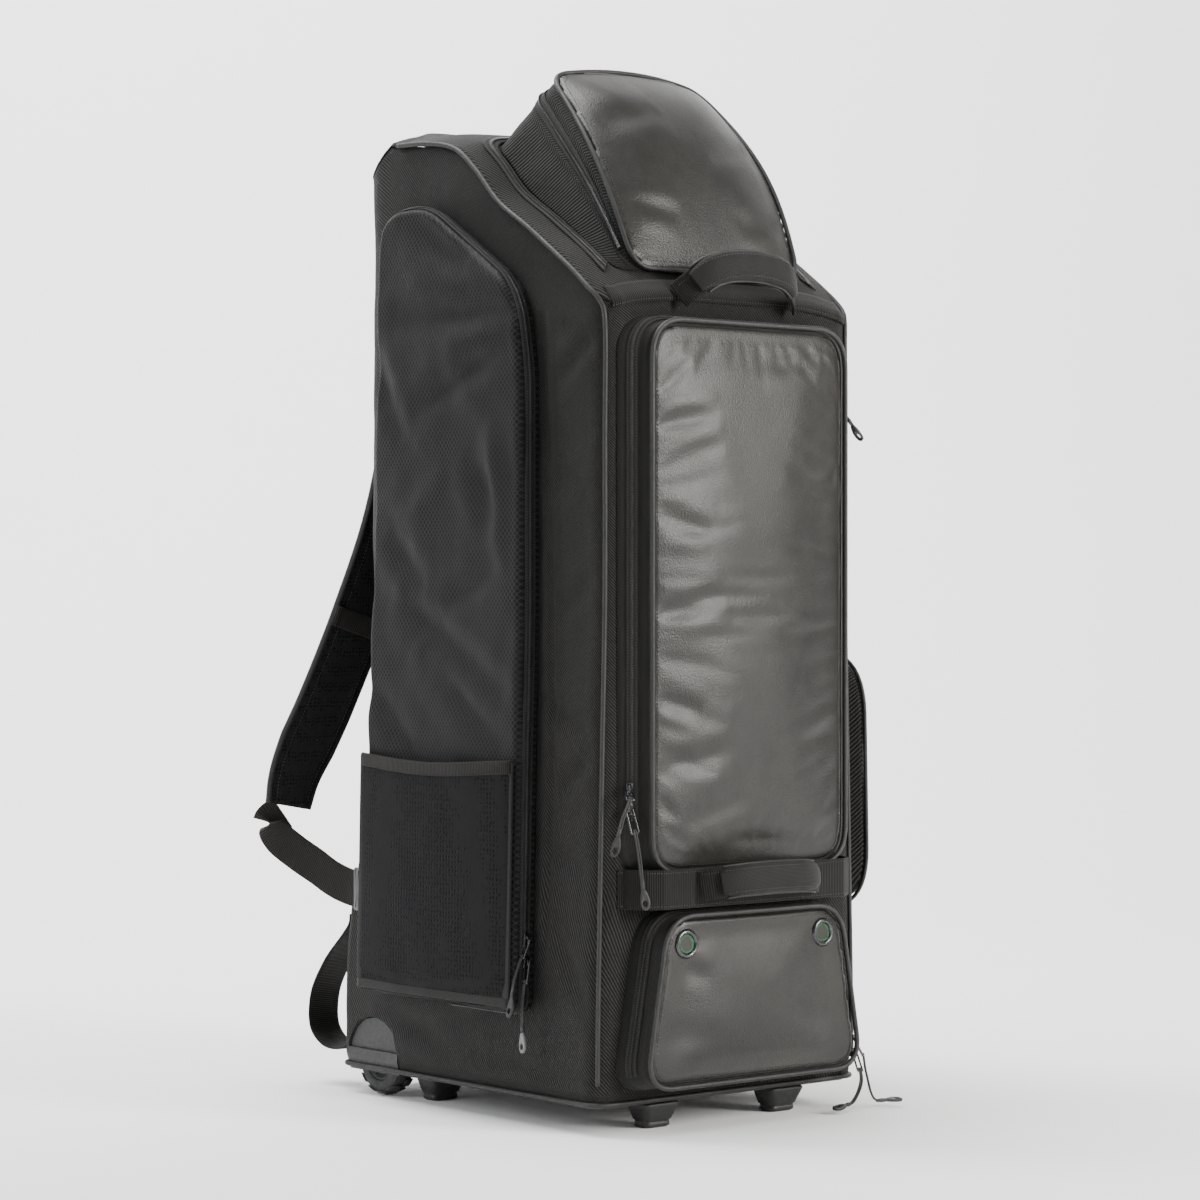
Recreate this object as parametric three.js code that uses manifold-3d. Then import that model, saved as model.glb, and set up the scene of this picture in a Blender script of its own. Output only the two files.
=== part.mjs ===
// Upright cricket kit bag on two wheels, in millimetres: +Z up, front to -Y, +X to the right from the front
import * as THREE from "three";
import { mergeVertices } from "three/addons/utils/BufferGeometryUtils.js";
import Module from "manifold-3d";

const wasm = await Module();
wasm.setup();

// Driving dimensions
const bodyWidth = 310;
const bodyDepth = 359;
const bodyHeight = 924;
const floorGap = 27;
const fabric = 3;
const seat = 0.3;
const lidCrown = 15;
const backRound = 60;
const backDrop = 52;

const helmetWidth = 240;
const helmetPanelBack = 184;
const helmetPanelFront = 204;
const helmetRise = 28;
const helmetCrown = 18;
const helmetBow = 18;
const helmetRoof = 0.65;
const helmetCushion = 0.8;
const helmetWiden = 8;
const helmetWall = 0.8;
const helmetZipLow = 0.66;
const helmetZipMiddle = 0.74;
const helmetZipHigh = 0.82;
const helmetZipClear = 1.5;
const helmetZipFront = -0.8;
const helmetLift = seat + 0.5;
const helmetPipingClear = 1.2;
const lidZipLift = 1.1;
const frontWidth = 236;
const frontHeight = 498;
const frontBottom = 237;
const frontRound = 35;
const frontDepth = 26;
const frontCrown = 9;
const frontSpread = 22;

const shoeTopWidth = 210;
const shoeBottomWidth = 262;
const shoeHeight = 150;
const shoeBottom = 45;
const shoeRound = 30;
const shoeDepth = 33;
const shoeCrown = 12;
const shoeSpread = 15;
const gussetSpreadUp = 6;

const batDepth = 23;
const sidePocketDepth = 18;
const sidePocketCrown = 5;
const ballDepth = 32;
const ballCrown = 8;
const ballWidth = 262;
const ballHeight = 248;
const ballBottom = 185;
const ballOverhang = 14;
const meshHeight = 225;
const meshBulge = 11;
const meshCloth = 1.5;
const meshGap = 0.9;
const meshRows = [0, 0.06, 0.5, 1];
const meshColumns = 8;
const meshFootRise = 12;
const panFlare = 1;

const bandWidth = 36;
const bandThick = 2;
const upperBandBottom = 742;
const bandOverTop = 12;
const bandTopClear = 2;
const bandTurn = 0.7;
const bandEase = 0.6;
const bandFlatShares = [0, 0.45, 0.8, 1];
const bandCornerShares = [0.25, 0.5];
const lowerBandBottom = 204;
const lowerBandEndIn = 15;
const lowerBandBend = 5;
const lowerBandFlare = 8;
const lowerBandBow = 1.5;
const gripLength = 144;
const gripHeight = 30;
const gripThick = 15;
const gripStandOff = 12;
const gripEndThick = 3;
const gripEndHeight = 27;
const gripEndTaper = 7;
const gripFullness = 0.6;
const gripSteps = 12;
const gripSides = 8;
const upperGripUp = 18;
const upperGripArch = 30.6;
const upperGripGap = 1.8;
const lowerGripUp = 19.8;
const lowerGripArch = 6;
const lowerGripGap = 0.6;

const pipingRadius = 2.4;
const pipingProud = 0.5;
const pipingSides = 5;
const edgePipingSteps = 30;
const zipWidth = 11;
const zipThick = 1.6;
const zipAway = 2 * seat;
const zipStart = 0.9;
const sideZipStart = 0.86;
const eyeletOuter = 27;
const eyeletInner = 17;
const eyeletHeight = 172;
const eyeletSpacing = 170;
const eyeletRim = 2.4;
const eyeletBarrel = 0.9;
const eyeletSeat = 1.4;
const eyeletSink = 0.7;
const eyeletClear = 1.1;
const eyeletLean = 0.2;
const eyeletSteps = 12;
const eyeletMeshThick = 0.8;
const eyeletMeshGap = 0.4;
const sliderRadius = 3.2;
const sliderLength = 12;
const pullCordRadius = 1.3;
const pullTabThick = 3;
const pullTabHoleUp = 10;
const frontPullsUp = [76, 58];
const batPullsUp = [66.5, 46.5];
const shoePullsUp = [24, 9];
const sidePullHeight = 714;
const sidePullFromFront = 34;

const backPanelWidth = 236;
const backPanelThick = 7;
const backPanelDome = 2;
const backPanelRound = 40;
const backPanelTop = 0.95;
const backPanelBottom = 0.38;
const strapWidth = 66;
const strapThick = 12;
const strapSteps = 14;
const strapFullness = 0.24;
const webbingWidth = 36;
const webbingThick = 2;
const webbingSteps = 16;
const webbingSewn = 22;
const strapHang = 90;
const strapWallUp = 0.7;
const strapAnchorUp = 0.188;
const strapAnchorAlong = 0.979;
const loopReach = 66;
const buckleThick = 4;
const buckleLength = 13;
const buckleBeyond = 3;

const boardThick = 3;
const boardInset = 4;
const wheelRadius = 36;
const wheelWidth = 22;
const wheelSideGap = 7.5;
const wheelFromBack = 54;
const wheelClearance = 2.5;
const wheelDish = 4;
const wheelDishShare = 0.6;
const hubWall = 6;
const hubProud = 2;
const treadDepth = 3;
const treadBlocks = 12;
const axleRadius = 4;
const axleClearance = 0.3;
const axleSides = 12;
const guardWall = 2;
const guardLip = 18;
const footTop = 42;
const footBottom = 30;
const footDepthShare = 0.36;
const footRound = 5;
const footLean = 2;
const frontFootSpacing = 156;
const frontFootFromFront = 22;
const rearFootSpacing = 244;
const rearFootFromBack = 108;

const bodyFront = -bodyDepth / 2;
const halfWidth = bodyWidth / 2;
const roundSteps = 3;
const longestStep = 95;
const cutPast = 1;

// Body sections: up is a share of the height, wide of the half width, front and back of the depth,
// rounds of the width
const bodySections = [
  { up: 0, wide: 1.04, front: -0.49, back: 0.592, roundFront: 0.05, roundBack: 0.045 },
  { up: 0.012, wide: 1.055, front: -0.5, back: 0.6, roundFront: 0.07, roundBack: 0.045 },
  { up: 0.1, wide: 1.05, front: -0.5, back: 0.6, roundFront: 0.07, roundBack: 0.045 },
  { up: 0.16, wide: 1.0425, front: -0.5, back: 0.59, roundFront: 0.07, roundBack: 0.05 },
  { up: 0.21, wide: 1.036, front: -0.5, back: 0.575, roundFront: 0.07, roundBack: 0.07 },
  { up: 0.27, wide: 1.029, front: -0.5, back: 0.563, roundFront: 0.07, roundBack: 0.12 },
  { up: 0.36, wide: 1.0175, front: -0.5, back: 0.56, roundFront: 0.07, roundBack: 0.14 },
  { up: 0.5, wide: 1, front: -0.5, back: 0.56, roundFront: 0.07, roundBack: 0.14 },
  { up: 1.08, wide: 1, front: -0.5, back: 0.56, roundFront: 0.07, roundBack: 0.14 },
];
// Upper edge of the side walls: along is a share of the depth from the front, up of the height
const sideEdge = [
  { along: -0.3, up: 0.655 },
  { along: 0, up: 0.776 },
  { along: 0.109, up: 0.814 },
  { along: 0.292, up: 0.8625 },
  { along: 0.421, up: 0.894 },
  { along: 0.521, up: 0.931 },
  { along: 0.607, up: 0.9545 },
  { along: 0.719, up: 0.964 },
  { along: 0.858, up: 0.967 },
  { along: 0.95, up: 0.974 },
  { along: 1.04, up: 0.97 },
  { along: 1.3, up: 0.93 },
];
// Bat pocket outline on the left side: along is a share of the depth from the front, up of the height
const batCorners = [
  { along: 0.262, up: 0.085, round: 14 },
  { along: 0.925, up: 0.085, round: 22 },
  { along: 0.875, up: 0.893, round: 34 },
  { along: 0.68, up: 0.899, round: 30 },
  { along: 0.3, up: 0.806, round: 40 },
  { along: 0.262, up: 0.72, round: 20 },
];
// Side pocket outline on the right side, measured as the bat pocket's is
const sideCorners = [
  { along: 0.262, up: 0.46, round: 20 },
  { along: 0.93, up: 0.46, round: 20 },
  { along: 0.93, up: 0.885, round: 40 },
  { along: 0.72, up: 0.89, round: 30 },
  { along: 0.3, up: 0.8, round: 40 },
  { along: 0.262, up: 0.72, round: 20 },
];
// Grip from end to end: wide is a share of the half length, out of the stand-off, up of the arch
const gripRoute = [
  { wide: -1, out: 0, up: 0 },
  { wide: -0.86, out: 0.5, up: 0.35 },
  { wide: -0.6, out: 0.95, up: 0.8 },
  { wide: 0, out: 1.06, up: 1 },
  { wide: 0.6, out: 0.95, up: 0.8 },
  { wide: 0.86, out: 0.5, up: 0.35 },
  { wide: 1, out: 0, up: 0 },
];
// Heights of the edge piping on the front corners, as shares of the body's height
const edgePipingLevels = [0.02, 0.06, 0.1, 0.16, 0.21, 0.27, 0.36, 0.5, 0.65];
// Turn of the edge piping at the shoulder: turn is a share of the diagonal, drop a length below the rim
const edgePipingTurn = [
  { turn: 1, drop: 16 },
  { turn: 0.9, drop: 4 },
  { turn: 0.55, drop: -1 },
  { turn: 0.064, drop: -1 },
];
// Tread block: part is a share of the pitch, depth of the tread's depth
const treadShape = [
  { part: 0.06, depth: 0 },
  { part: 0.54, depth: 0 },
  { part: 0.64, depth: 1 },
  { part: 0.94, depth: 1 },
];
// Left strap: wide is a share of the half width, behind of the hang, up of the height
const strapRoute = [
  { wide: 0.4, behind: 0, up: 0.945 },
  { wide: 0.4, behind: 0.003, up: 0.89 },
  { wide: 0.42, behind: 0.006, up: 0.782 },
  { wide: 0.5, behind: 0.02, up: 0.674 },
  { wide: 0.618, behind: 0.08, up: 0.577 },
  { wide: 0.787, behind: 0.24, up: 0.48 },
  { wide: 0.973, behind: 0.47, up: 0.382 },
  { wide: 1.15, behind: 0.625, up: 0.306 },
  { wide: 1.19, behind: 0.66, up: 0.272 },
];
const webbingRoute = [
  { wide: 1.204, behind: 0.737, up: 0.2645 },
  { wide: 1.25, behind: 0.85, up: 0.254 },
  { wide: 1.24, behind: 0.78, up: 0.241 },
  { wide: 1.187, behind: 0.548, up: 0.224 },
  { wide: 1.13, behind: 0.281, up: 0.209 },
  { wide: 1.09, behind: 0.037, up: 0.196 },
];
// Lower loop: behind is a share of its own reach, up of the height
const loopRoute = [
  { behind: 0.006, up: 0.158 },
  { behind: 0.02, up: 0.148 },
  { behind: 0.16, up: 0.136 },
  { behind: 0.62, up: 0.104 },
  { behind: 0.97, up: 0.066 },
  { behind: 0.98, up: 0.031 },
  { behind: 0.68, up: 0.014 },
  { behind: 0.28, up: 0.012 },
  { behind: 0.05, up: 0.018 },
  { behind: 0.006, up: 0.032 },
];
// Zip pull cords from their sliders: hang is measured from the slider, lie has its heights from the floor
const pullRoutes = {
  front_a: { hang: [[-9, -12, -8], [-18, -12, -26], [-21, -9, -42]] },
  front_b: { hang: [[1, -9, -28], [1, -18, -72]] },
  bat_a: { hang: [[-12, 2, -34], [-18, -1, -52]] },
  bat_b: { hang: [[-8, -5, -35], [-9, -6, -64]] },
  side_a: { hang: [[6, -3, -38], [24, -6, -62]] },
  side_b: { hang: [[3, 0, -44], [3, 0, -70]] },
  shoe_a: { hang: [[9, -5, -8], [12, -10, -36]], lie: [[17, -16, 9], [31, -18, 7]] },
  shoe_b: { hang: [[-1, -14, -26]], lie: [[-14, -16, 9], [-26, -18, 7]] },
};
const pullTab = [[-2.4, -2], [2.4, -2], [5, 8], [4, 14], [0, 17], [-4, 14], [-5, 8]];

const clamp = THREE.MathUtils.clamp;
const lerp = THREE.MathUtils.lerp;

// Reads a table at a share, straight between its rows
function tableAt(rows, key, value) {
  let i = 1;
  while (i < rows.length - 1 && rows[i][key] < value) i += 1;
  const a = rows[i - 1];
  const b = rows[i];
  const t = clamp((value - a[key]) / (b[key] - a[key]), 0, 1);
  return Object.fromEntries(Object.keys(a).map((name) => [name, lerp(a[name], b[name], t)]));
}

const heightAt = (up) => floorGap + up * bodyHeight;
const depthAt = (along) => bodyFront + along * bodyDepth;
const bodyAt = (z) => tableAt(bodySections, "up", (z - floorGap) / bodyHeight);
const sideX = (z) => bodyAt(z).wide * halfWidth;
const frontY = (z) => bodyAt(z).front * bodyDepth;
const backY = (z) => bodyAt(z).back * bodyDepth;

const upperBack = backY(heightAt(1));
const cornerRound = bodySections[2].roundFront * bodyWidth;

// Height of the body's upper rim under the lid: crowned in the middle, lower at the two back corners
function rimZ(x, y) {
  const edge = heightAt(tableAt(sideEdge, "along", (y - bodyFront) / bodyDepth).up);
  const crown = lidCrown * (1 - Math.min(1, Math.abs(x) / halfWidth) ** 4);
  const nearSide = clamp((Math.abs(x) - halfWidth + backRound) / backRound, 0, 1);
  const nearBack = clamp((y - upperBack + backRound) / backRound, 0, 1);
  return edge + crown - backDrop * nearSide * nearBack;
}
const lidTopZ = (x, y) => rimZ(x, y) + seat + fabric;

function signedVolume(positions, index) {
  let total = 0;
  for (let i = 0; i < index.length; i += 3) {
    const [a, b, c] = [0, 1, 2].map((k) => positions[index[i + k]]);
    total += a.dot(b.clone().cross(c)) / 6;
  }
  return total;
}

// Closed solid from vertices and triangles, with its faces turned outwards
function solidFrom(positions, index) {
  if (signedVolume(positions, index) < 0) index.reverse();
  const geometry = new THREE.BufferGeometry().setFromPoints(positions);
  geometry.setIndex(index);
  return geometry;
}

// Skin through closed rings of equal count: capped at both ends, or joined last to first
function loft(rings, joined = false, startPoint = null, endPoint = null) {
  const count = rings[0].length;
  const positions = rings.flat().map((p) => p.clone());
  const index = [];
  const spans = joined ? rings.length : rings.length - 1;
  for (let r = 0; r < spans; r += 1) {
    const near = r * count;
    const far = ((r + 1) % rings.length) * count;
    for (let i = 0; i < count; i += 1) {
      const j = (i + 1) % count;
      index.push(near + i, near + j, far + j, near + i, far + j, far + i);
    }
  }
  const cap = (ring, offset, point, turn) => {
    const middle = point || ring.reduce((s, p) => s.add(p), new THREE.Vector3()).divideScalar(count);
    positions.push(middle.clone());
    for (let i = 0; i < count; i += 1) {
      const pair = [offset + i, offset + ((i + 1) % count)];
      if (turn) pair.reverse();
      index.push(positions.length - 1, ...pair);
    }
  };
  if (!joined) {
    cap(rings[0], 0, startPoint, true);
    cap(rings.at(-1), (rings.length - 1) * count, endPoint, false);
  }
  return solidFrom(positions, index);
}

// Sheet whose outer grid goes round a bend, closed at both ends by strips
function bentSlab(outer, inner) {
  const rows = outer.length;
  const cols = outer[0].length;
  const positions = [...outer.flat(), ...inner.flat()].map((p) => p.clone());
  const at = (side, r, c) => side * rows * cols + r * cols + c;
  const index = [];
  const quad = (a, b, c, d) => index.push(a, b, c, a, c, d);
  for (let r = 0; r < rows - 1; r += 1) {
    for (let c = 0; c < cols - 1; c += 1) {
      quad(at(0, r, c), at(0, r, c + 1), at(0, r + 1, c + 1), at(0, r + 1, c));
      quad(at(1, r, c), at(1, r + 1, c), at(1, r + 1, c + 1), at(1, r, c + 1));
    }
    quad(at(0, r, 0), at(0, r + 1, 0), at(1, r + 1, 0), at(1, r, 0));
    quad(at(0, r, cols - 1), at(1, r, cols - 1), at(1, r + 1, cols - 1), at(0, r + 1, cols - 1));
  }
  for (let c = 0; c < cols - 1; c += 1) {
    quad(at(0, 0, c), at(1, 0, c), at(1, 0, c + 1), at(0, 0, c + 1));
    quad(at(0, rows - 1, c), at(0, rows - 1, c + 1), at(1, rows - 1, c + 1), at(1, rows - 1, c));
  }
  return solidFrom(positions, index);
}

function toSolid(geometry) {
  const plain = geometry.clone();
  plain.deleteAttribute("normal");
  plain.deleteAttribute("uv");
  const merged = mergeVertices(plain, 1e-4);
  const vertProperties = merged.attributes.position.array;
  const triVerts = new Uint32Array(merged.index.array);
  return new wasm.Manifold(new wasm.Mesh({ numProp: 3, vertProperties, triVerts }));
}

function toGeometry(solid) {
  const mesh = solid.getMesh();
  const geometry = new THREE.BufferGeometry();
  geometry.setAttribute("position", new THREE.BufferAttribute(mesh.vertProperties, 3));
  geometry.setIndex(new THREE.BufferAttribute(mesh.triVerts, 1));
  return geometry;
}

const joinAll = (geometries) => geometries.map(toSolid).reduce((a, b) => a.add(b));

function boxBetween(low, high) {
  const size = [0, 1, 2].map((k) => high[k] - low[k]);
  const middle = [0, 1, 2].map((k) => (high[k] + low[k]) / 2);
  return new THREE.BoxGeometry(...size).translate(...middle);
}

// Cylinder along X between two values of x
function barAlongX(radius, fromX, toX, y, z, sides = 24) {
  const bar = new THREE.CylinderGeometry(radius, radius, Math.abs(toX - fromX), sides);
  return bar.rotateZ(Math.PI / 2).translate((fromX + toX) / 2, y, z);
}

// Rounded polygon in a plane, as points no further apart than the longest step
function outlineOf(corners) {
  const points = [];
  const count = corners.length;
  for (let i = 0; i < count; i += 1) {
    const here = new THREE.Vector2(corners[i].u, corners[i].v);
    const before = new THREE.Vector2(corners[(i + count - 1) % count].u, corners[(i + count - 1) % count].v);
    const after = new THREE.Vector2(corners[(i + 1) % count].u, corners[(i + 1) % count].v);
    const reach = Math.min(corners[i].round, here.distanceTo(before) / 2.1, here.distanceTo(after) / 2.1);
    const entry = here.clone().addScaledVector(before.sub(here).normalize(), reach);
    const exit = here.clone().addScaledVector(after.sub(here).normalize(), reach);
    points.push(...new THREE.QuadraticBezierCurve(entry, here, exit).getPoints(roundSteps));
  }
  const filled = [];
  points.forEach((p, i) => {
    const next = points[(i + 1) % points.length];
    const parts = Math.ceil(p.distanceTo(next) / longestStep);
    for (let k = 0; k < parts; k += 1) filled.push(p.clone().lerp(next, k / parts));
  });
  return filled;
}

// Outline moved outwards along its own normals
function grown(points, distance) {
  return points.map((p, i) => {
    const before = points[(i + points.length - 1) % points.length];
    const after = points[(i + 1) % points.length];
    const run = after.clone().sub(before).normalize();
    return new THREE.Vector2(p.x + run.y * distance, p.y - run.x * distance);
  });
}

// Outline stretched about its middle by an extra half width and half height
function spread(points, middle, extraU, extraV) {
  const reachU = Math.max(...points.map((p) => Math.abs(p.x - middle.x)));
  const reachV = Math.max(...points.map((p) => Math.abs(p.y - middle.y)));
  return points.map(
    (p) =>
      new THREE.Vector2(
        middle.x + (p.x - middle.x) * (1 + extraU / reachU),
        middle.y + (p.y - middle.y) * (1 + extraV / reachV),
      ),
  );
}

const panelScales = [1, 0.88, 0.5];

// Rings of a crowned panel from its edge to near its middle
function crownedRings(points, middle, place, scales = panelScales) {
  return scales.map((k) => points.map((p) => place(p.clone().lerp(middle, 1 - k), k)));
}

const shift = (ring, by) => ring.map((p) => p.clone().add(by));

// Crowned panel of even thickness
function panel(points, middle, place, inward) {
  const outer = crownedRings(points, middle, place);
  const inner = outer.map((ring) => shift(ring, inward)).reverse();
  const peak = place(middle, 0);
  return loft([...inner, ...outer], false, peak.clone().add(inward), peak);
}

// Gusset wall between a base outline and a panel edge
function gusset(base, edge, baseInner, edgeInner) {
  return loft([base, edge, edgeInner, baseInner], true);
}

// Round cord closed on itself along a ring of points, offset in the ring's own plane
function ringCord(centres, outwards, up, radius) {
  const sides = 4;
  const rings = [];
  for (let k = 0; k < sides; k += 1) {
    const angle = (2 * Math.PI * k) / sides;
    rings.push(
      centres.map((c, i) =>
        c
          .clone()
          .addScaledVector(outwards[i], radius * Math.cos(angle))
          .addScaledVector(up, radius * Math.sin(angle)),
      ),
    );
  }
  return loft(rings, true);
}

// Cord along an open path
function cordAlong(points, radius, sides = 6, steps = null) {
  const circle = new THREE.Shape(
    Array.from({ length: sides }, (_, k) => {
      const angle = (2 * Math.PI * k) / sides;
      return new THREE.Vector2(radius * Math.cos(angle), radius * Math.sin(angle));
    }),
  );
  const path = new THREE.CatmullRomCurve3(points, false, "centripetal");
  return new THREE.ExtrudeGeometry(circle, {
    steps: steps || points.length * 3,
    extrudePath: path,
    bevelEnabled: false,
    curveSegments: 1,
  });
}

// Flat strap along a path: across is the direction of its width at each point
function strapAlong(points, across, width, thick, steps, crownShare = 0) {
  const path = new THREE.CatmullRomCurve3(points, false, "centripetal");
  const rings = [];
  for (let i = 0; i <= steps; i += 1) {
    const t = i / steps;
    const centre = path.getPoint(t);
    const along = path.getTangent(t);
    const side = across(t).clone();
    side.addScaledVector(along, -side.dot(along)).normalize();
    const out = along.clone().cross(side).normalize();
    const section = [
      [-0.5, -0.5 + crownShare],
      [-0.5, 0.5 - crownShare],
      [-0.34, 0.5],
      [0.34, 0.5],
      [0.5, 0.5 - crownShare],
      [0.5, -0.5 + crownShare],
      [0.34, -0.5],
      [-0.34, -0.5],
    ];
    const kept = crownShare ? section : [section[0], section[1], section[4], section[5]];
    rings.push(
      kept.map(([a, b]) => centre.clone().addScaledVector(side, a * width).addScaledVector(out, b * thick)),
    );
  }
  return loft(rings);
}

const bag = new THREE.Group();
const material = (name, color, roughness, metalness = 0) =>
  new THREE.MeshStandardMaterial({ name, color, roughness, metalness });
const twill = material("nylon_twill", 0x1c1c1d, 0.85);
const ripstop = material("ripstop", 0x2a2c30, 0.7);
const leatherLook = material("leather_look", 0x34332f, 0.45);
const spacerMesh = material("spacer_mesh", 0x161617, 0.9);
const webbing = material("webbing", 0x1b1918, 0.8);
const zipTape = material("zip_tape", 0x121212, 0.75);
const pipingCord = material("piping", 0x19191a, 0.7);
const plastic = material("plastic", 0x1a1a1b, 0.5);
const tyre = material("tyre", 0x141414, 0.85);
const darkMetal = material("dark_metal", 0x3a3b3d, 0.3, 0.9);
const greenMesh = material("green_mesh", 0x2c4a35, 0.8);

function add(name, shape, finish) {
  const geometry = shape.isBufferGeometry ? shape : toGeometry(shape);
  const mesh = new THREE.Mesh(geometry, finish);
  mesh.name = name;
  bag.add(mesh);
}

const sides = { left: -1, right: 1 };

// Body

function bodyOutline(section, inset) {
  const wide = section.wide * halfWidth - inset;
  const front = section.front * bodyDepth + inset;
  const back = section.back * bodyDepth - inset;
  const frontRadius = Math.max(2, section.roundFront * bodyWidth - inset);
  const backRadius = Math.max(2, section.roundBack * bodyWidth - inset);
  const arc = (x, y, radius, from) =>
    Array.from({ length: roundSteps + 1 }, (_, k) => {
      const angle = from + (Math.PI / 2) * (k / roundSteps);
      return new THREE.Vector2(x + radius * Math.cos(angle), y + radius * Math.sin(angle));
    });
  return [
    ...arc(wide - frontRadius, front + frontRadius, frontRadius, -Math.PI / 2),
    ...arc(wide - backRadius, back - backRadius, backRadius, 0),
    ...arc(-wide + backRadius, back - backRadius, backRadius, Math.PI / 2),
    ...arc(-wide + frontRadius, front + frontRadius, frontRadius, Math.PI),
  ];
}

function bodyLoft(inset, bottom) {
  const levels = bodySections.map((row) => heightAt(row.up)).filter((z) => z > bottom);
  const rings = [bottom, ...levels].map((z) =>
    bodyOutline(bodyAt(Math.max(z, floorGap)), inset).map((p) => new THREE.Vector3(p.x, p.y, z)),
  );
  return toSolid(loft(rings));
}

const rimColumns = [-1.3, -1, -0.88, -0.61, -0.3, 0, 0.3, 0.61, 0.88, 1, 1.3];

// Space between two heights above the rim, wider than the body
function overRim(low, high) {
  const xs = rimColumns.map((share) => share * halfWidth);
  const atCorner = [upperBack - backRound, upperBack - backRound / 2];
  const ys = [...sideEdge.map((row) => depthAt(row.along)), ...atCorner].sort((a, b) => a - b);
  const sheet = (rise) => ys.map((y) => xs.map((x) => new THREE.Vector3(x, y, rimZ(x, y) + rise)));
  return toSolid(bentSlab(sheet(high), sheet(low)));
}

const wheelX = sideX(floorGap + wheelRadius) - wheelSideGap - wheelWidth / 2;
const wheelY = backY(floorGap + wheelRadius) - wheelFromBack;
const wheelZ = wheelRadius;
const boardBottom = floorGap - seat - boardThick;

// Round-topped space over a wheel, larger than it by the distance given
function wheelSpace(hand, distance, bottom) {
  const x0 = hand * (wheelX - wheelWidth / 2 - distance);
  const x1 = hand * (wheelX + wheelWidth / 2 + distance);
  const radius = wheelRadius + distance;
  const lower = boxBetween(
    [Math.min(x0, x1), wheelY - radius, bottom],
    [Math.max(x0, x1), wheelY + radius, wheelZ],
  );
  return joinAll([barAlongX(radius, x0, x1, wheelY, wheelZ, 16), lower]);
}

// Corner of the body that the wheel guard's lip fills
function lipSpace(hand, margin) {
  const inner = wheelX - wheelWidth / 2 - wheelClearance - guardWall - margin;
  const reach = wheelRadius + wheelClearance + guardWall + margin;
  const xs = [hand * inner, hand * bodyWidth];
  return toSolid(
    boxBetween(
      [Math.min(...xs), wheelY - reach, boardBottom - cutPast],
      [Math.max(...xs), wheelY + reach, floorGap + guardLip + margin],
    ),
  );
}

function makeBody() {
  let shell = bodyLoft(0, floorGap).subtract(bodyLoft(fabric, floorGap + fabric));
  shell = shell.subtract(overRim(0, bodyHeight));
  for (const hand of Object.values(sides)) {
    shell = shell.subtract(lipSpace(hand, seat));
    shell = shell.subtract(wheelSpace(hand, wheelClearance + guardWall + seat, boardBottom - cutPast));
  }
  add("body_shell", shell, twill);
  const lid = bodyLoft(0, floorGap).intersect(overRim(seat, seat + fabric));
  add("top_lid", lid, twill);
}

// Helmet pocket on the sloping lid

const helmetNormal = new THREE.Vector3(0, -0.84, 0.55).normalize();
const helmetSwell = new THREE.Vector3(0, -0.5, 0.8);
const helmetFoot = { front: depthAt(0.068), back: depthAt(0.574) };
const helmetTop = { front: depthAt(0.056), back: depthAt(0.421) };
const helmetSquare = outlineOf([
  { u: -1, v: -1, round: 0.22 },
  { u: 1, v: -1, round: 0.22 },
  { u: 1, v: 1, round: 0.2 },
  { u: -1, v: 1, round: 0.2 },
]);
const sliceUp = (points, parts) =>
  points.flatMap((p, i) => {
    const next = points[(i + 1) % points.length];
    const pieces = p.distanceTo(next) > 0.3 ? parts : 1;
    return Array.from({ length: pieces }, (_, k) => p.clone().lerp(next, k / pieces));
  });
const helmetRing = sliceUp(helmetSquare, 4);
const share = (value) => (value + 1) / 2;

function helmetFootPoint(p, inset, rise) {
  const x = p.x * (helmetWidth / 2 - inset);
  const y = lerp(helmetFoot.front + inset, helmetFoot.back - inset, share(p.y));
  return new THREE.Vector3(x, y, lidTopZ(x, y) + rise);
}

function helmetTopPoint(p, k, inset = 0) {
  const s = share(p.y);
  const bow = Math.sin(Math.PI * s);
  const wide = lerp(helmetPanelFront, helmetPanelBack, s) / 2 + helmetWiden * bow - inset;
  const y = lerp(helmetTop.front, helmetTop.back, s);
  const low = lidTopZ(0, helmetTop.front) + gussetSpreadUp;
  const high = heightAt(1) + helmetRise;
  const dome = helmetCrown * (helmetRoof * (1 - p.x * p.x) * s + helmetCushion * (1 - k * k));
  const flat = new THREE.Vector3(p.x * wide, y, lerp(low, high, s));
  return flat.addScaledVector(helmetSwell, dome).addScaledVector(helmetNormal, helmetBow * bow);
}

// Points of the helmet ring behind its front edge, in order from one side to the other
function helmetRun() {
  const count = helmetRing.length;
  const isBehind = (i) => helmetRing[(i + count) % count].y > helmetZipFront;
  const first = helmetRing.findIndex((_, i) => isBehind(i) && !isBehind(i - 1));
  return helmetRing.map((_, k) => (first + k) % count).filter(isBehind);
}

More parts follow.
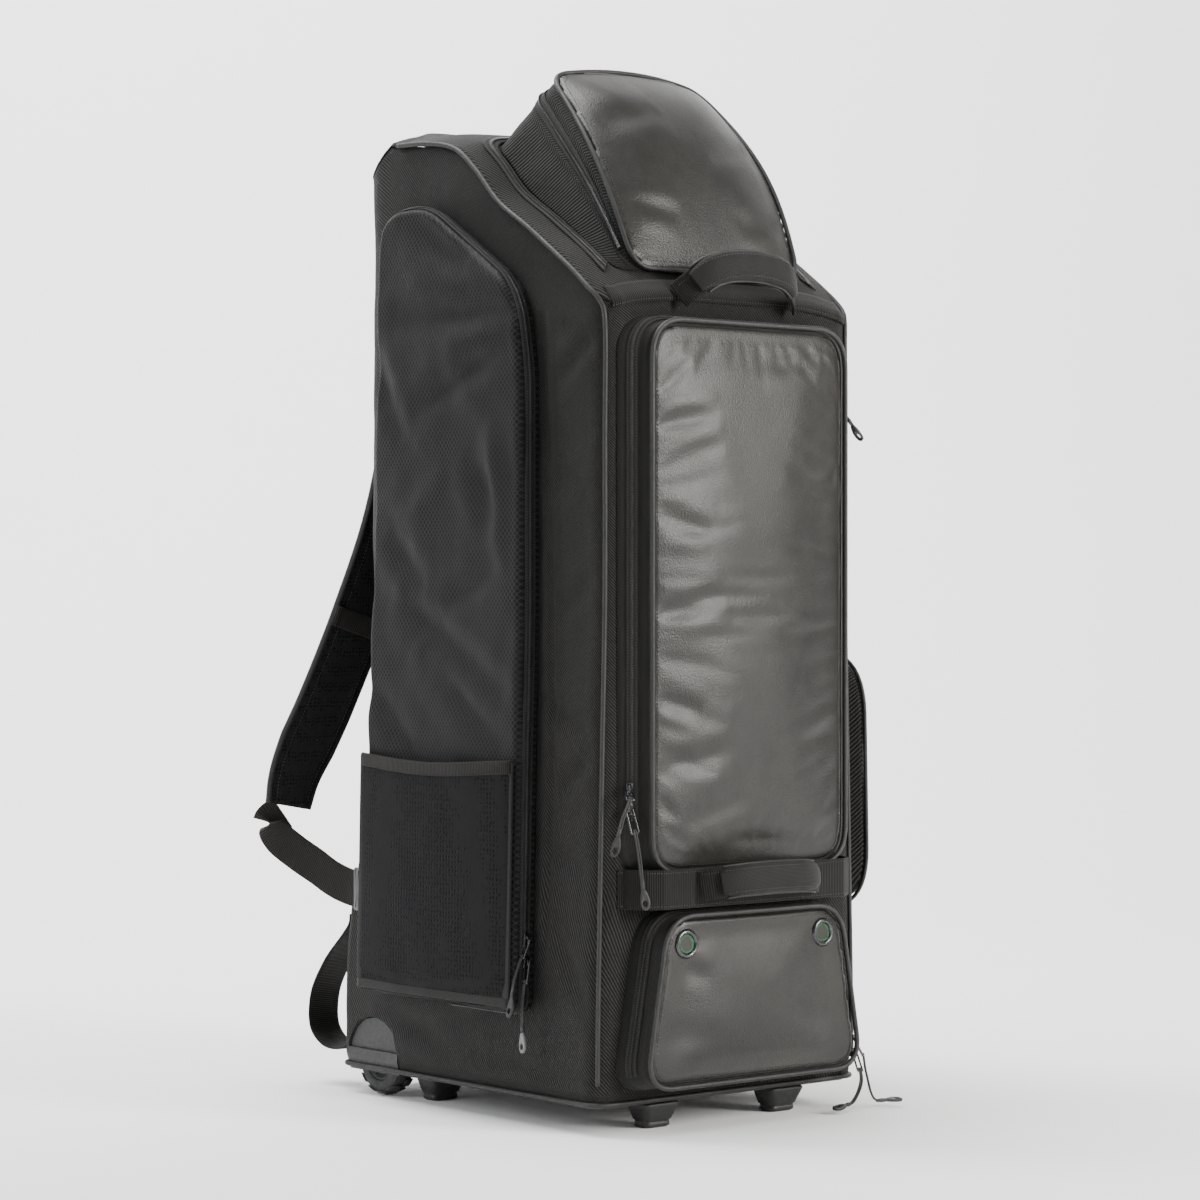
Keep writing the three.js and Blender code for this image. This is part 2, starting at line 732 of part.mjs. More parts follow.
function makeHelmetPocket() {
  const foot = helmetRing.map((p) => helmetFootPoint(p, 0, helmetLift));
  const footInner = helmetRing.map((p) => helmetFootPoint(p, fabric, helmetLift));
  const under = (p, inset) => helmetTopPoint(p, 1, inset).addScaledVector(helmetNormal, -seat - fabric);
  const top = helmetRing.map((p) => under(p, 0));
  const topInner = helmetRing.map((p) => under(p, fabric));
  const between = (a, b) => a.map((p, i) => p.clone().lerp(b[i], helmetZipMiddle));
  const wall = [foot, between(foot, top), top, topInner, between(footInner, topInner), footInner];
  add("helmet_gusset", loft(wall, true), twill);
  const place = (p, k) => helmetTopPoint(p, k);
  const inward = helmetNormal.clone().multiplyScalar(-fabric);
  add("helmet_panel", panel(helmetRing, new THREE.Vector2(0, 0), place, inward), leatherLook);

  const outwards = helmetRing.map((p) => new THREE.Vector3(p.x, p.y * helmetWall, 0).normalize());
  const cordReach = pipingRadius + seat + helmetPipingClear;
  const cordRing = helmetRing.map((p, i) =>
    helmetTopPoint(p, 1).addScaledVector(outwards[i], cordReach).addScaledVector(helmetNormal, -fabric / 2),
  );
  add("helmet_piping", ringCord(cordRing, outwards, helmetNormal, pipingRadius), pipingCord);

  const run = helmetRun();
  const band = (corners) => loft(run.map((i) => corners.map((corner) => corner(i))));
  const onWall = (t, away) => (i) => foot[i].clone().lerp(top[i], t).addScaledVector(outwards[i], away);
  const outer = helmetZipClear + zipThick;
  const wallZip = [
    onWall(helmetZipLow, helmetZipClear),
    onWall(helmetZipHigh, helmetZipClear),
    onWall(helmetZipHigh, outer),
    onWall(helmetZipLow, outer),
  ];
  add("helmet_zip", band(wallZip), zipTape);
  const onLid = (away, rise) => (i) => {
    const p = helmetFootPoint(helmetRing[i], -away, 0);
    return p.setZ(lidTopZ(p.x, p.y) + helmetLift + rise);
  };
  const far = helmetZipClear + zipWidth;
  const lidZip = [
    onLid(helmetZipClear, lidZipLift),
    onLid(far, lidZipLift),
    onLid(far, lidZipLift + zipThick),
    onLid(helmetZipClear, lidZipLift + zipThick),
  ];
  add("lid_zip", band(lidZip), zipTape);
}

// Pockets on the front

const frontMiddle = new THREE.Vector2(0, frontBottom + frontHeight / 2);
const frontOutline = outlineOf([
  { u: -frontWidth / 2, v: frontBottom, round: frontRound },
  { u: frontWidth / 2, v: frontBottom, round: frontRound },
  { u: frontWidth / 2, v: frontBottom + frontHeight, round: frontRound },
  { u: -frontWidth / 2, v: frontBottom + frontHeight, round: frontRound },
]);
const shoeMiddle = new THREE.Vector2(0, shoeBottom + shoeHeight / 2);
const shoeOutline = outlineOf([
  { u: -shoeBottomWidth / 2, v: shoeBottom, round: shoeRound },
  { u: shoeBottomWidth / 2, v: shoeBottom, round: shoeRound },
  { u: shoeTopWidth / 2, v: shoeBottom + shoeHeight, round: shoeRound },
  { u: -shoeTopWidth / 2, v: shoeBottom + shoeHeight, round: shoeRound },
]);

const frontSpec = {
  points: frontOutline,
  middle: frontMiddle,
  depth: frontDepth,
  crown: frontCrown,
  extra: frontSpread,
  zipBottom: frontBottom + frontRound * zipStart,
  halfAt: () => frontWidth / 2,
};
const shoeSpec = {
  points: shoeOutline,
  middle: shoeMiddle,
  depth: shoeDepth,
  crown: shoeCrown,
  extra: shoeSpread,
  zipBottom: shoeBottom + shoeRound * zipStart,
  halfAt: (z) => lerp(shoeBottomWidth, shoeTopWidth, (z - shoeBottom) / shoeHeight) / 2,
};

const frontPlace = (spec) => (p, k) =>
  new THREE.Vector3(p.x, frontY(p.y) - spec.depth - spec.crown * (1 - k * k), p.y);
const frontPanel = (spec) => panel(spec.points, spec.middle, frontPlace(spec), new THREE.Vector3(0, fabric, 0));

// Rings of a front pocket's gusset: the foot on the body and the edge under the panel
function frontGussetRings(spec) {
  const foot = spread(spec.points, spec.middle, spec.extra, gussetSpreadUp);
  const footInner = grown(foot, -fabric);
  const edgeInner = grown(spec.points, -fabric);
  const onBody = (points) => points.map((p) => new THREE.Vector3(p.x, frontY(p.y) - seat, p.y));
  const underPanel = (points) =>
    points.map((p) => new THREE.Vector3(p.x, frontY(p.y) - spec.depth + fabric + seat, p.y));
  return {
    foot: onBody(foot),
    footInner: onBody(footInner),
    edge: underPanel(spec.points),
    edgeInner: underPanel(edgeInner),
  };
}

// Zip band that lies on a gusset from one point of its outline to another
function zipOnGusset(rings, outwards, from, to, low, high) {
  const count = rings.foot.length;
  const stops = Array.from({ length: to - from + 1 }, (_, k) => (from + k) % count);
  const at = (i, t, away) => rings.foot[i].clone().lerp(rings.edge[i], t).addScaledVector(outwards[i], away);
  const rows = stops.map((i) => [
    at(i, low, zipAway),
    at(i, high, zipAway),
    at(i, high, zipAway + zipThick),
    at(i, low, zipAway + zipThick),
  ]);
  return loft(rows);
}

const gussetZip = [0.3, 0.62];
const sideGussetZip = [0.2, 0.72];
const normalsOf = (points) => grown(points, 1).map((q, i) => q.sub(points[i]));

function makeFrontPocket(prefix, spec, panelSolid) {
  const rings = frontGussetRings(spec);
  add(prefix + "_gusset", gusset(rings.foot, rings.edge, rings.footInner, rings.edgeInner), twill);
  add(prefix + "_panel", panelSolid, leatherLook);
  const normals = normalsOf(spec.points);
  const outwards = normals.map((n) => new THREE.Vector3(n.x, 0, n.y));
  const forward = new THREE.Vector3(0, -1, 0);
  const reach = pipingRadius + seat;
  const cord = spec.points.map((p, i) => {
    const y = frontY(p.y) - spec.depth - pipingProud;
    return new THREE.Vector3(p.x + normals[i].x * reach, y, p.y + normals[i].y * reach);
  });
  add(prefix + "_piping", ringCord(cord, outwards, forward, pipingRadius), pipingCord);
  const lowRight = spec.points.findIndex((p) => p.x > 0 && p.y >= spec.zipBottom);
  add(prefix + "_zip", zipOnGusset(rings, outwards, lowRight, spec.points.length, ...gussetZip), zipTape);
}

function eyeletCentre(hand) {
  const p = new THREE.Vector2((hand * eyeletSpacing) / 2, eyeletHeight);
  const reach = new THREE.Vector2(shoeTopWidth / 2, shoeHeight / 2);
  const k = Math.max(Math.abs(p.x) / reach.x, Math.abs(p.y - shoeMiddle.y) / reach.y);
  return new THREE.Vector3(p.x, frontPlace(shoeSpec)(p, Math.min(1, k)).y, p.y);
}

function eyeletRing() {
  const bore = eyeletInner / 2;
  const rim = eyeletOuter / 2;
  const face = eyeletSeat + eyeletRim;
  const profile = [
    [bore, -fabric],
    [bore + eyeletBarrel, -fabric],
    [bore + eyeletBarrel, eyeletSeat],
    [rim, eyeletSeat],
    [rim - eyeletBarrel, face],
    [bore + eyeletBarrel / 2, face],
    [bore, face - 2 * eyeletBarrel],
    [bore, -fabric],
  ];
  const points = profile.map(([radius, height]) => new THREE.Vector2(radius, height));
  return new THREE.LatheGeometry(points, eyeletSteps).rotateX(Math.PI);
}

function makeShoePocket() {
  let cover = toSolid(frontPanel(shoeSpec));
  for (const [side, hand] of Object.entries(sides)) {
    const centre = eyeletCentre(hand);
    const holeRadius = eyeletInner / 2 + eyeletBarrel + eyeletClear;
    const hole = new THREE.CylinderGeometry(holeRadius, holeRadius, shoeDepth, eyeletSteps);
    cover = cover.subtract(toSolid(hole.translate(centre.x, centre.y, centre.z)));
    const lean = hand * eyeletLean;
    const ring = eyeletRing().rotateZ(lean).translate(centre.x, centre.y - eyeletSink, centre.z);
    add("eyelet_" + side, ring, darkMetal);
    const discRadius = eyeletInner / 2 - eyeletMeshGap;
    const disc = new THREE.CylinderGeometry(discRadius, discRadius, eyeletMeshThick, eyeletSteps);
    const sunk = disc.rotateZ(lean).translate(centre.x, centre.y + eyeletSink, centre.z);
    add("eyelet_mesh_" + side, sunk, greenMesh);
  }
  makeFrontPocket("shoe", shoeSpec, cover);
}

// Pockets on the sides

// A side pocket as one pan: foot on the body's side, panel outwards
function sidePan(hand, points, middle, footPoints, depth, crown) {
  const at = (p, away) => new THREE.Vector3(hand * (sideX(p.y) + away), p.x, p.y);
  const place = (p, k) => at(p, depth + crown * (1 - k * k));
  const innerPlace = (p, k) => place(p, k).add(new THREE.Vector3(-hand * fabric, 0, 0));
  const outer = crownedRings(points, middle, place);
  const inner = crownedRings(grown(points, -fabric), middle, innerPlace);
  const foot = footPoints.map((p) => at(p, seat));
  const footInner = grown(footPoints, -fabric).map((p) => at(p, seat));
  const rings = [...inner.reverse(), footInner, foot, ...outer];
  return loft(rings, false, innerPlace(middle, 0), place(middle, 0));
}

// Zip round a side pocket, on its gusset, between two of its outline points
function sideZip(hand, points, footPoints, depth, from, to) {
  const rings = {
    foot: footPoints.map((p) => new THREE.Vector3(hand * (sideX(p.y) + seat), p.x, p.y)),
    edge: points.map((p) => new THREE.Vector3(hand * (sideX(p.y) + depth), p.x, p.y)),
  };
  const outwards = normalsOf(points).map((n) => new THREE.Vector3(0, n.x, n.y));
  return zipOnGusset(rings, outwards, from, to, ...sideGussetZip);
}

const outlineOnSide = (corners) =>
  outlineOf(corners.map((c) => ({ u: depthAt(c.along), v: heightAt(c.up), round: c.round })));
const batOutline = outlineOnSide(batCorners);
const sideOutline = outlineOnSide(sideCorners);
const ballFront = bodyFront + frontRound * 0.2;
const ballOutline = outlineOf([
  { u: ballFront, v: ballBottom, round: 60 },
  { u: ballFront + ballWidth, v: ballBottom, round: 40 },
  { u: ballFront + ballWidth, v: ballBottom + ballHeight, round: 40 },
  { u: ballFront, v: ballBottom + ballHeight, round: 60 },
]);

const middleOf = (points) => {
  const box = new THREE.Box2().setFromPoints(points);
  return box.getCenter(new THREE.Vector2());
};

const firstOver = (points, height) => points.findIndex((p) => p.y > height);

function makeSidePockets() {
  const zipHeight = heightAt(sideZipStart);
  const batFoot = grown(batOutline, panFlare);
  const batPan = sidePan(sides.left, batOutline, middleOf(batOutline), batFoot, batDepth, 0);
  add("bat_pocket", batPan, ripstop);
  const batFrom = firstOver(batOutline, zipHeight);
  const batZip = sideZip(sides.left, batOutline, batFoot, batDepth, batFrom, batOutline.length);
  add("bat_pocket_zip", batZip, zipTape);

  const sideFoot = grown(sideOutline, panFlare);
  const sideMiddle = middleOf(sideOutline);
  const pan = sidePan(sides.right, sideOutline, sideMiddle, sideFoot, sidePocketDepth, sidePocketCrown);
  add("side_pocket", pan, ripstop);
  const sideFrom = firstOver(sideOutline, zipHeight);
  const zip = sideZip(sides.right, sideOutline, sideFoot, sidePocketDepth, sideFrom, sideOutline.length);
  add("side_pocket_zip", zip, zipTape);

  const flatFrom = bodyFront + cornerRound + panFlare;
  const ballFoot = ballOutline.map((p) => {
    const y = p.x < flatFrom ? p.x + ballOverhang : p.x;
    return new THREE.Vector2(Math.max(y, flatFrom), p.y);
  });
  const ballPan = sidePan(sides.right, ballOutline, middleOf(ballOutline), ballFoot, ballDepth, ballCrown);
  add("ball_pocket", ballPan, twill);
}

function makeMeshPocket() {
  const low = heightAt(batCorners[0].up) + fabric;
  const from = depthAt(batCorners[0].along) + fabric;
  const to = depthAt(batCorners[1].along) - fabric;
  const pointAt = (up, along, extra) => {
    const z = low + up * meshHeight;
    const bulge = meshBulge * Math.min(1, up * meshFootRise) * Math.sqrt(Math.sin(Math.PI * along));
    const x = sides.left * (sideX(z) + batDepth + meshGap + bulge + extra);
    return new THREE.Vector3(x, lerp(from, to, along), z);
  };
  const columns = Array.from({ length: meshColumns + 1 }, (_, i) => i / meshColumns);
  const grid = (extra) => meshRows.map((up) => columns.map((along) => pointAt(up, along, extra)));
  add("mesh_pocket", bentSlab(grid(meshCloth), grid(0)), spacerMesh);
}

// Webbing bands and handles

function makeUpperBand() {
  const flat = halfWidth - cornerRound;
  const half = [
    ...bandFlatShares.map((part) => part * flat),
    ...bandCornerShares.map((part) => flat + part * cornerRound),
  ];
  const columns = [...half.slice(1).reverse().map((x) => -x), ...half];
  const front = frontY(upperBandBottom);
  const crownAt = (x) => rimZ(x, front) - rimZ(halfWidth, front);
  const line = (x, away) => {
    const past = Math.max(0, Math.abs(x) - flat);
    const ease = past > 0 ? bandEase : 0;
    const back = cornerRound - Math.sqrt(cornerRound * cornerRound - past * past) - ease;
    const y = front - seat - away + back;
    const topY = front + bandOverTop + back;
    const turn = away * bandTurn;
    return [
      new THREE.Vector3(x, y, upperBandBottom + crownAt(x)),
      new THREE.Vector3(x, y, lidTopZ(x, front) + bandTopClear),
      new THREE.Vector3(x, topY - turn, lidTopZ(x, topY) + bandTopClear + turn),
    ];
  };
  const outer = columns.map((x) => line(x, bandThick));
  const inner = columns.map((x) => line(x, 0));
  add("upper_band", bentSlab(outer, inner), webbing);
}

const lowerBandFace = frontY(frontBottom) - frontDepth - pipingRadius * 2 - bandThick / 2;

function makeLowerBand() {
  const foot = frontY(lowerBandBottom) - seat;
  const end = -halfWidth + lowerBandEndIn;
  const stops = [
    [end, foot],
    [end + lowerBandBend, foot - bandThick],
    [-frontWidth / 2 - lowerBandFlare, lowerBandFace + lowerBandFlare],
    [-frontWidth / 2 + lowerBandFlare, lowerBandFace],
    [-frontWidth / 4, lowerBandFace - lowerBandBow * 0.75],
    [0, lowerBandFace - lowerBandBow],
  ];
  const all = [...stops, ...stops.slice(0, -1).reverse().map(([x, y]) => [-x, y])];
  const top = lowerBandBottom + bandWidth;
  const line = (away) =>
    all.map(([x, y]) => [lowerBandBottom, top].map((z) => new THREE.Vector3(x, y - away, z)));
  add("lower_band", bentSlab(line(bandThick), line(0)), webbing);
}

// Padded grip whose two ends are stitched to a band
function grip(name, baseY, baseZ, arch) {
  const standOff = gripStandOff + gripThick / 2;
  const path = gripRoute.map(
    (p) => new THREE.Vector3((p.wide * gripLength) / 2, baseY - p.out * standOff, baseZ + p.up * arch),
  );
  const upwards = new THREE.Vector3(0, 0.12, 1);
  const curve = new THREE.CatmullRomCurve3(path, false, "centripetal");
  const soft = (value) => Math.sign(value) * Math.abs(value) ** gripFullness;
  const rings = [];
  for (let i = 0; i <= gripSteps; i += 1) {
    const t = i / gripSteps;
    const end = Math.min(1, Math.min(t, 1 - t) * gripEndTaper);
    const tall = lerp(gripEndHeight, gripHeight, end) / 2;
    const thick = lerp(gripEndThick, gripThick, end) / 2;
    const centre = curve.getPoint(t);
    const along = curve.getTangent(t);
    const side = upwards.clone().addScaledVector(along, -upwards.dot(along)).normalize();
    const out = along.clone().cross(side).normalize();
    const corner = (k) => {
      const angle = (2 * Math.PI * (k + 0.5)) / gripSides;
      const a = soft(Math.cos(angle)) * tall;
      const b = soft(Math.sin(angle)) * thick;
      return centre.clone().addScaledVector(side, a).addScaledVector(out, b);
    };
    rings.push(Array.from({ length: gripSides }, (_, k) => corner(k)));
  }
  add(name, loft(rings), webbing);
}

function makeHandles() {
  const upperFace = frontY(upperBandBottom) - bandThick - gripEndThick / 2;
  grip("upper_handle", upperFace - upperGripGap, upperBandBottom + upperGripUp, upperGripArch);
  const lowerFace = lowerBandFace - lowerBandBow - bandThick - gripEndThick / 2;
  grip("lower_handle", lowerFace - lowerGripGap, lowerBandBottom + lowerGripUp, lowerGripArch);
}

// Piping on the body

function makeBodyPiping() {
  const away = pipingRadius + seat + 0.4;
  const reach = cornerRound + away;
  const cornerAt = (angle, z) => {
    const x = sideX(z) - cornerRound + reach * Math.cos(angle);
    return [x, frontY(z) + cornerRound - reach * Math.sin(angle)];
  };
  const diagonal = Math.PI / 4;
  const rimOf = (y) => rimZ(halfWidth, y) + fabric / 2;
  const shoulder = rimZ(halfWidth, bodyFront);
  for (const [side, hand] of Object.entries(sides)) {
    const path = edgePipingLevels.map((up) => {
      const [x, y] = cornerAt(diagonal, heightAt(up));
      return new THREE.Vector3(hand * x, y, heightAt(up));
    });
    for (const { turn, drop } of edgePipingTurn) {
      const [x, y] = cornerAt(diagonal * turn, shoulder);
      path.push(new THREE.Vector3(hand * (x + 1), y - 1, rimOf(y - 1) - drop));
    }
    for (const row of sideEdge.slice(2, 9)) {
      const y = depthAt(row.along);
      path.push(new THREE.Vector3(hand * (sideX(rimZ(halfWidth, y)) + away), y, rimOf(y)));
    }
    add("edge_piping_" + side, cordAlong(path, pipingRadius, pipingSides, edgePipingSteps), pipingCord);
  }
  const foot = bodyOutline(bodyAt(floorGap), 0);
  const ring = grown(foot, away).map((p) => new THREE.Vector3(p.x, p.y, floorGap + 1));
  const outwards = normalsOf(foot).map((n) => new THREE.Vector3(n.x, n.y, 0));
  add("bottom_piping", ringCord(ring, outwards, new THREE.Vector3(0, 0, 1), pipingRadius), pipingCord);
}

// Back panel and shoulder straps

function makeBackPanel() {
  const side = backPanelWidth / 2;
  const corner = (u, up) => ({ u, v: heightAt(up), round: backPanelRound });
  const points = outlineOf([
    corner(-side, backPanelBottom),
    corner(side, backPanelBottom),
    corner(side, backPanelTop),
    corner(-side, backPanelTop),
  ]);
  const centre = middleOf(points);
  const onBack = (p, away) => new THREE.Vector3(p.x, backY(p.y) + seat + away, p.y);
  const edge = backPanelThick - backPanelDome;
  const place = (p, k) => onBack(p, k < 1 ? edge + backPanelDome : edge);
  const flat = points.map((p) => onBack(p, 0));
  const rings = [flat, ...crownedRings(points, centre, place)];
  add("back_panel", loft(rings, false, onBack(centre, 0), place(centre, 0)), spacerMesh);
}

function makeStraps() {
  const wallY = backY(heightAt(strapWallUp)) + backPanelThick + strapThick / 2 + zipAway;
  const level = () => new THREE.Vector3(1, 0, 0);
  const upright = () => new THREE.Vector3(0, 0, 1);
  const anchorZ = heightAt(strapAnchorUp);
  const anchorX = sideX(anchorZ - webbingWidth / 2) + webbingThick / 2 + 3 * seat;
  const anchorY = depthAt(strapAnchorAlong);
  for (const [side, hand] of Object.entries(sides)) {
    const at = (p) =>
      new THREE.Vector3(hand * p.wide * halfWidth, wallY + p.behind * strapHang, heightAt(p.up));
    const padded = strapAlong(strapRoute.map(at), level, strapWidth, strapThick, strapSteps, strapFullness);
    add("shoulder_strap_" + side, padded, spacerMesh);
    const sewn = [anchorY + webbingSewn, anchorY].map((y) => new THREE.Vector3(hand * anchorX, y, anchorZ));
    const route = [...webbingRoute.map(at), ...sewn];
    const tail = strapAlong(route, upright, webbingWidth, webbingThick, webbingSteps);
    add("strap_webbing_" + side, tail, webbing);
    const face = anchorX + webbingThick / 2 + seat;
    const xs = [hand * face, hand * (face + buckleThick)];
    const reachZ = webbingWidth / 2 + buckleBeyond;
    const plate = boxBetween(
      [Math.min(...xs), anchorY + 1, anchorZ - reachZ],
      [Math.max(...xs), anchorY + 1 + buckleLength, anchorZ + reachZ],
    );
    add("strap_buckle_" + side, plate, plastic);
  }
}

function makeLowerLoops() {
  const x = halfWidth - webbingWidth / 2 - webbingThick;
  const level = () => new THREE.Vector3(1, 0, 0);
  for (const [side, hand] of Object.entries(sides)) {
    const path = loopRoute.map((p) => {
      const z = heightAt(p.up);
      return new THREE.Vector3(hand * x, backY(z) + webbingThick / 2 + p.behind * loopReach, z);
    });
    add("lower_loop_" + side, strapAlong(path, level, webbingWidth, webbingThick, webbingSteps), webbing);
  }
}

// Base, wheels and feet

function makeWheelGuard(hand) {
  const lip = lipSpace(hand, 0).intersect(bodyLoft(0, boardBottom));
  const below = boxBetween([-bodyWidth, bodyFront, -wheelRadius], [bodyWidth, bodyDepth, boardBottom]);
  const around = wheelSpace(hand, wheelClearance + guardWall, boardBottom).add(lip);
  const open = around.subtract(wheelSpace(hand, wheelClearance, boardBottom - cutPast));
  return open.subtract(toSolid(below));
}

function makeBase() {
  const outline = bodyOutline(bodyAt(floorGap), boardInset);
  const ring = (z) => outline.map((p) => new THREE.Vector3(p.x, p.y, z));
  let board = toSolid(loft([ring(boardBottom), ring(floorGap - seat)]));
  for (const hand of Object.values(sides)) board = board.subtract(lipSpace(hand, seat));
  add("base_board", board, plastic);
  const wall = wheelWidth / 2 + wheelClearance + guardWall;
  for (const [side, hand] of Object.entries(sides)) {
    const inner = hand * (wheelX - wall - axleRadius);
    const outer = hand * (wheelX + wall);
    const bore = axleRadius + axleClearance;
    const hole = barAlongX(bore, inner - hand, outer + hand * zipAway, wheelY, wheelZ, axleSides);
    add("wheel_guard_" + side, makeWheelGuard(hand).subtract(toSolid(hole)), plastic);
    add("axle_" + side, barAlongX(axleRadius, inner, outer, wheelY, wheelZ, axleSides), darkMetal);
    add("wheel_" + side, makeWheel(hand), tyre);
  }
}

function makeFoot(x, y) {
  const section = (size, z, lean) => {
    const half = size / 2;
    const deep = size * footDepthShare;
    const corner = (u, v) => ({ u: x + u, v: y + lean + v, round: footRound });
    const corners = [corner(-half, -deep), corner(half, -deep), corner(half, deep), corner(-half, deep)];
    return outlineOf(corners).map((p) => new THREE.Vector3(p.x, p.y, z));
  };
  return loft([section(footBottom, 0, footLean), section(footTop, boardBottom - seat, 0)]);
}

function makeFeet() {
  const frontAt = bodyFront + frontFootFromFront;
  const rearAt = backY(floorGap) - rearFootFromBack;
  for (const [side, hand] of Object.entries(sides)) {
    add("front_foot_" + side, makeFoot((hand * frontFootSpacing) / 2, frontAt), plastic);
    add("rear_foot_" + side, makeFoot((hand * rearFootSpacing) / 2, rearAt), plastic);
  }
}

// Tread outline of a wheel, turned by a share of the pitch
function treadOutline(offset) {
  const points = [];
  for (let i = 0; i < treadBlocks; i += 1) {
    for (const { part, depth } of treadShape) {
      const angle = ((i + part + offset) / treadBlocks) * 2 * Math.PI;
      const radius = wheelRadius - depth * treadDepth;
      points.push(new THREE.Vector2(radius * Math.cos(angle), radius * Math.sin(angle)));
    }
  }
  return points;
}

function makeWheel(hand) {
  const half = wheelWidth / 2;
  const disc = (offset, from, to) => {
    const settings = { depth: to - from, bevelEnabled: false, curveSegments: 1 };
    const solid = new THREE.ExtrudeGeometry(new THREE.Shape(treadOutline(offset)), settings);
    return solid.rotateY(Math.PI / 2).translate(from, 0, 0);
  };
  const bore = barAlongX(axleRadius + axleClearance, -half - cutPast, half + cutPast, 0, 0, axleSides);
  const floor = hand * (half - wheelDish);
  const dish = barAlongX(wheelRadius * wheelDishShare, floor, hand * (half + cutPast), 0, 0, 16);
  const hub = barAlongX(axleRadius + hubWall, floor - hand, hand * (half + hubProud), 0, 0, axleSides);
  let wheel = joinAll([disc(0, -half, 0.01), disc(0.5, 0, half)]);
  wheel = wheel.subtract(toSolid(bore)).subtract(toSolid(dish).subtract(toSolid(hub)));
  return toGeometry(wheel).translate(hand * wheelX, wheelY, wheelZ);
}

// Zip pulls

// Slider, cord and ring tab, fused: the tab's face looks the way given
function pull(name, points, facing = new THREE.Vector3(0, 1, 0)) {
  const path = points.map((p) => new THREE.Vector3(...p));
  const slider = new THREE.CylinderGeometry(sliderRadius, sliderRadius, sliderLength, 6);
  slider.rotateX(Math.PI / 2).translate(path[0].x, path[0].y, path[0].z);
  const cord = cordAlong(path, pullCordRadius, 4, (path.length - 1) * 2);
  const end = path.at(-1);
  const last = end.clone().sub(path.at(-2)).normalize();
  const shape = new THREE.Shape(pullTab.map(([x, y]) => new THREE.Vector2(x, y)));
  const hole = new THREE.Path();
  hole.absellipse(0, pullTabHoleUp, 2.2, 3.2, 0, 2 * Math.PI, true);
  shape.holes.push(hole);
  const settings = { depth: pullTabThick, bevelEnabled: false, curveSegments: 3 };
  const tab = new THREE.ExtrudeGeometry(shape, settings);
  tab.translate(0, 0, -pullTabThick / 2);
  const face = facing.clone().addScaledVector(last, -facing.dot(last)).normalize();
  const basis = new THREE.Matrix4().makeBasis(last.clone().cross(face), last, face);
  tab.applyMatrix4(basis).translate(end.x, end.y, end.z);
  add("zip_pull_" + name, joinAll([slider, cord, tab]), darkMetal);
}

const pullPath = (slider, { hang, lie = [] }) => [
  slider,
  ...hang.map(([x, y, z]) => [slider[0] + x, slider[1] + y, slider[2] + z]),
  ...lie.map(([x, y, z]) => [slider[0] + x, slider[1] + y, z]),
];

// Middle of a slider on a front pocket's zip at a height
function sliderOnFront(spec, hand, z) {
  const t = (gussetZip[0] + gussetZip[1]) / 2;
  const run = spec.depth - fabric - 2 * seat;
  const steep = Math.hypot(run, spec.extra) / run;
  const away = zipAway + zipThick + (sliderRadius + seat) * steep;
  const x = spec.halfAt(z) + spec.extra * (1 - t) + away;
  return [hand * x, frontY(z) - seat - run * t, z];
}

// Middle of a slider on the front side of the bat pocket's zip at a height
function sliderOnBat(z) {
  const t = (sideGussetZip[0] + sideGussetZip[1]) / 2;
  const y = depthAt(batCorners[0].along) - (1 - t) * panFlare - zipAway - zipThick - sliderRadius - seat;
  return [-(sideX(z) + batDepth * t), y, z];
}

function makePulls() {
  const alongX = new THREE.Vector3(1, 0, 0);
  const upwards = new THREE.Vector3(0, 0, 1);
  const [frontA, frontB] = frontPullsUp.map((up) => sliderOnFront(frontSpec, sides.left, frontBottom + up));
  pull("front_a", pullPath(frontA, pullRoutes.front_a));
  pull("front_b", pullPath(frontB, pullRoutes.front_b));
  const [batA, batB] = batPullsUp.map((up) => sliderOnBat(heightAt(batCorners[0].up) + up));
  pull("bat_a", pullPath(batA, pullRoutes.bat_a), alongX);
  pull("bat_b", pullPath(batB, pullRoutes.bat_b), alongX);
  const sideA = [sideX(sidePullHeight) + sliderRadius + seat, bodyFront + sidePullFromFront, sidePullHeight];
  const sideB = [sideA[0], sideA[1] + sliderLength, sideA[2] - sliderLength];
  pull("side_a", pullPath(sideA, pullRoutes.side_a), alongX);
  pull("side_b", pullPath(sideB, pullRoutes.side_b), alongX);
  const [shoeA, shoeB] = shoePullsUp.map((up) => sliderOnFront(shoeSpec, sides.right, shoeBottom + up));
  pull("shoe_a", pullPath(shoeA, pullRoutes.shoe_a), upwards);
  pull("shoe_b", pullPath(shoeB, pullRoutes.shoe_b), upwards);
}

makeBody();
makeHelmetPocket();
makeFrontPocket("front", frontSpec, frontPanel(frontSpec));
makeShoePocket();
makeSidePockets();
makeMeshPocket();
makeUpperBand();
makeLowerBand();
makeHandles();
makeBodyPiping();
makeBackPanel();
makeStraps();
makeLowerLoops();
makeBase();
makeFeet();
makePulls();

// The origin is on the floor, under the middle of the whole bag with its straps
const reach = new THREE.Box3().setFromObject(bag);
const middle = reach.getCenter(new THREE.Vector3());
bag.position.set(-middle.x, -middle.y, -reach.min.z);

export default bag;
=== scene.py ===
"""Cricket kit bag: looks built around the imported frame.

Shapes are worked out in millimetres in the maker's frame, where y = 0 is the middle of the body's depth.
They go to the row frame in metres as each mesh is made.
"""

import math

import bpy
import numpy as np
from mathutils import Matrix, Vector, noise
from mathutils.bvhtree import BVHTree


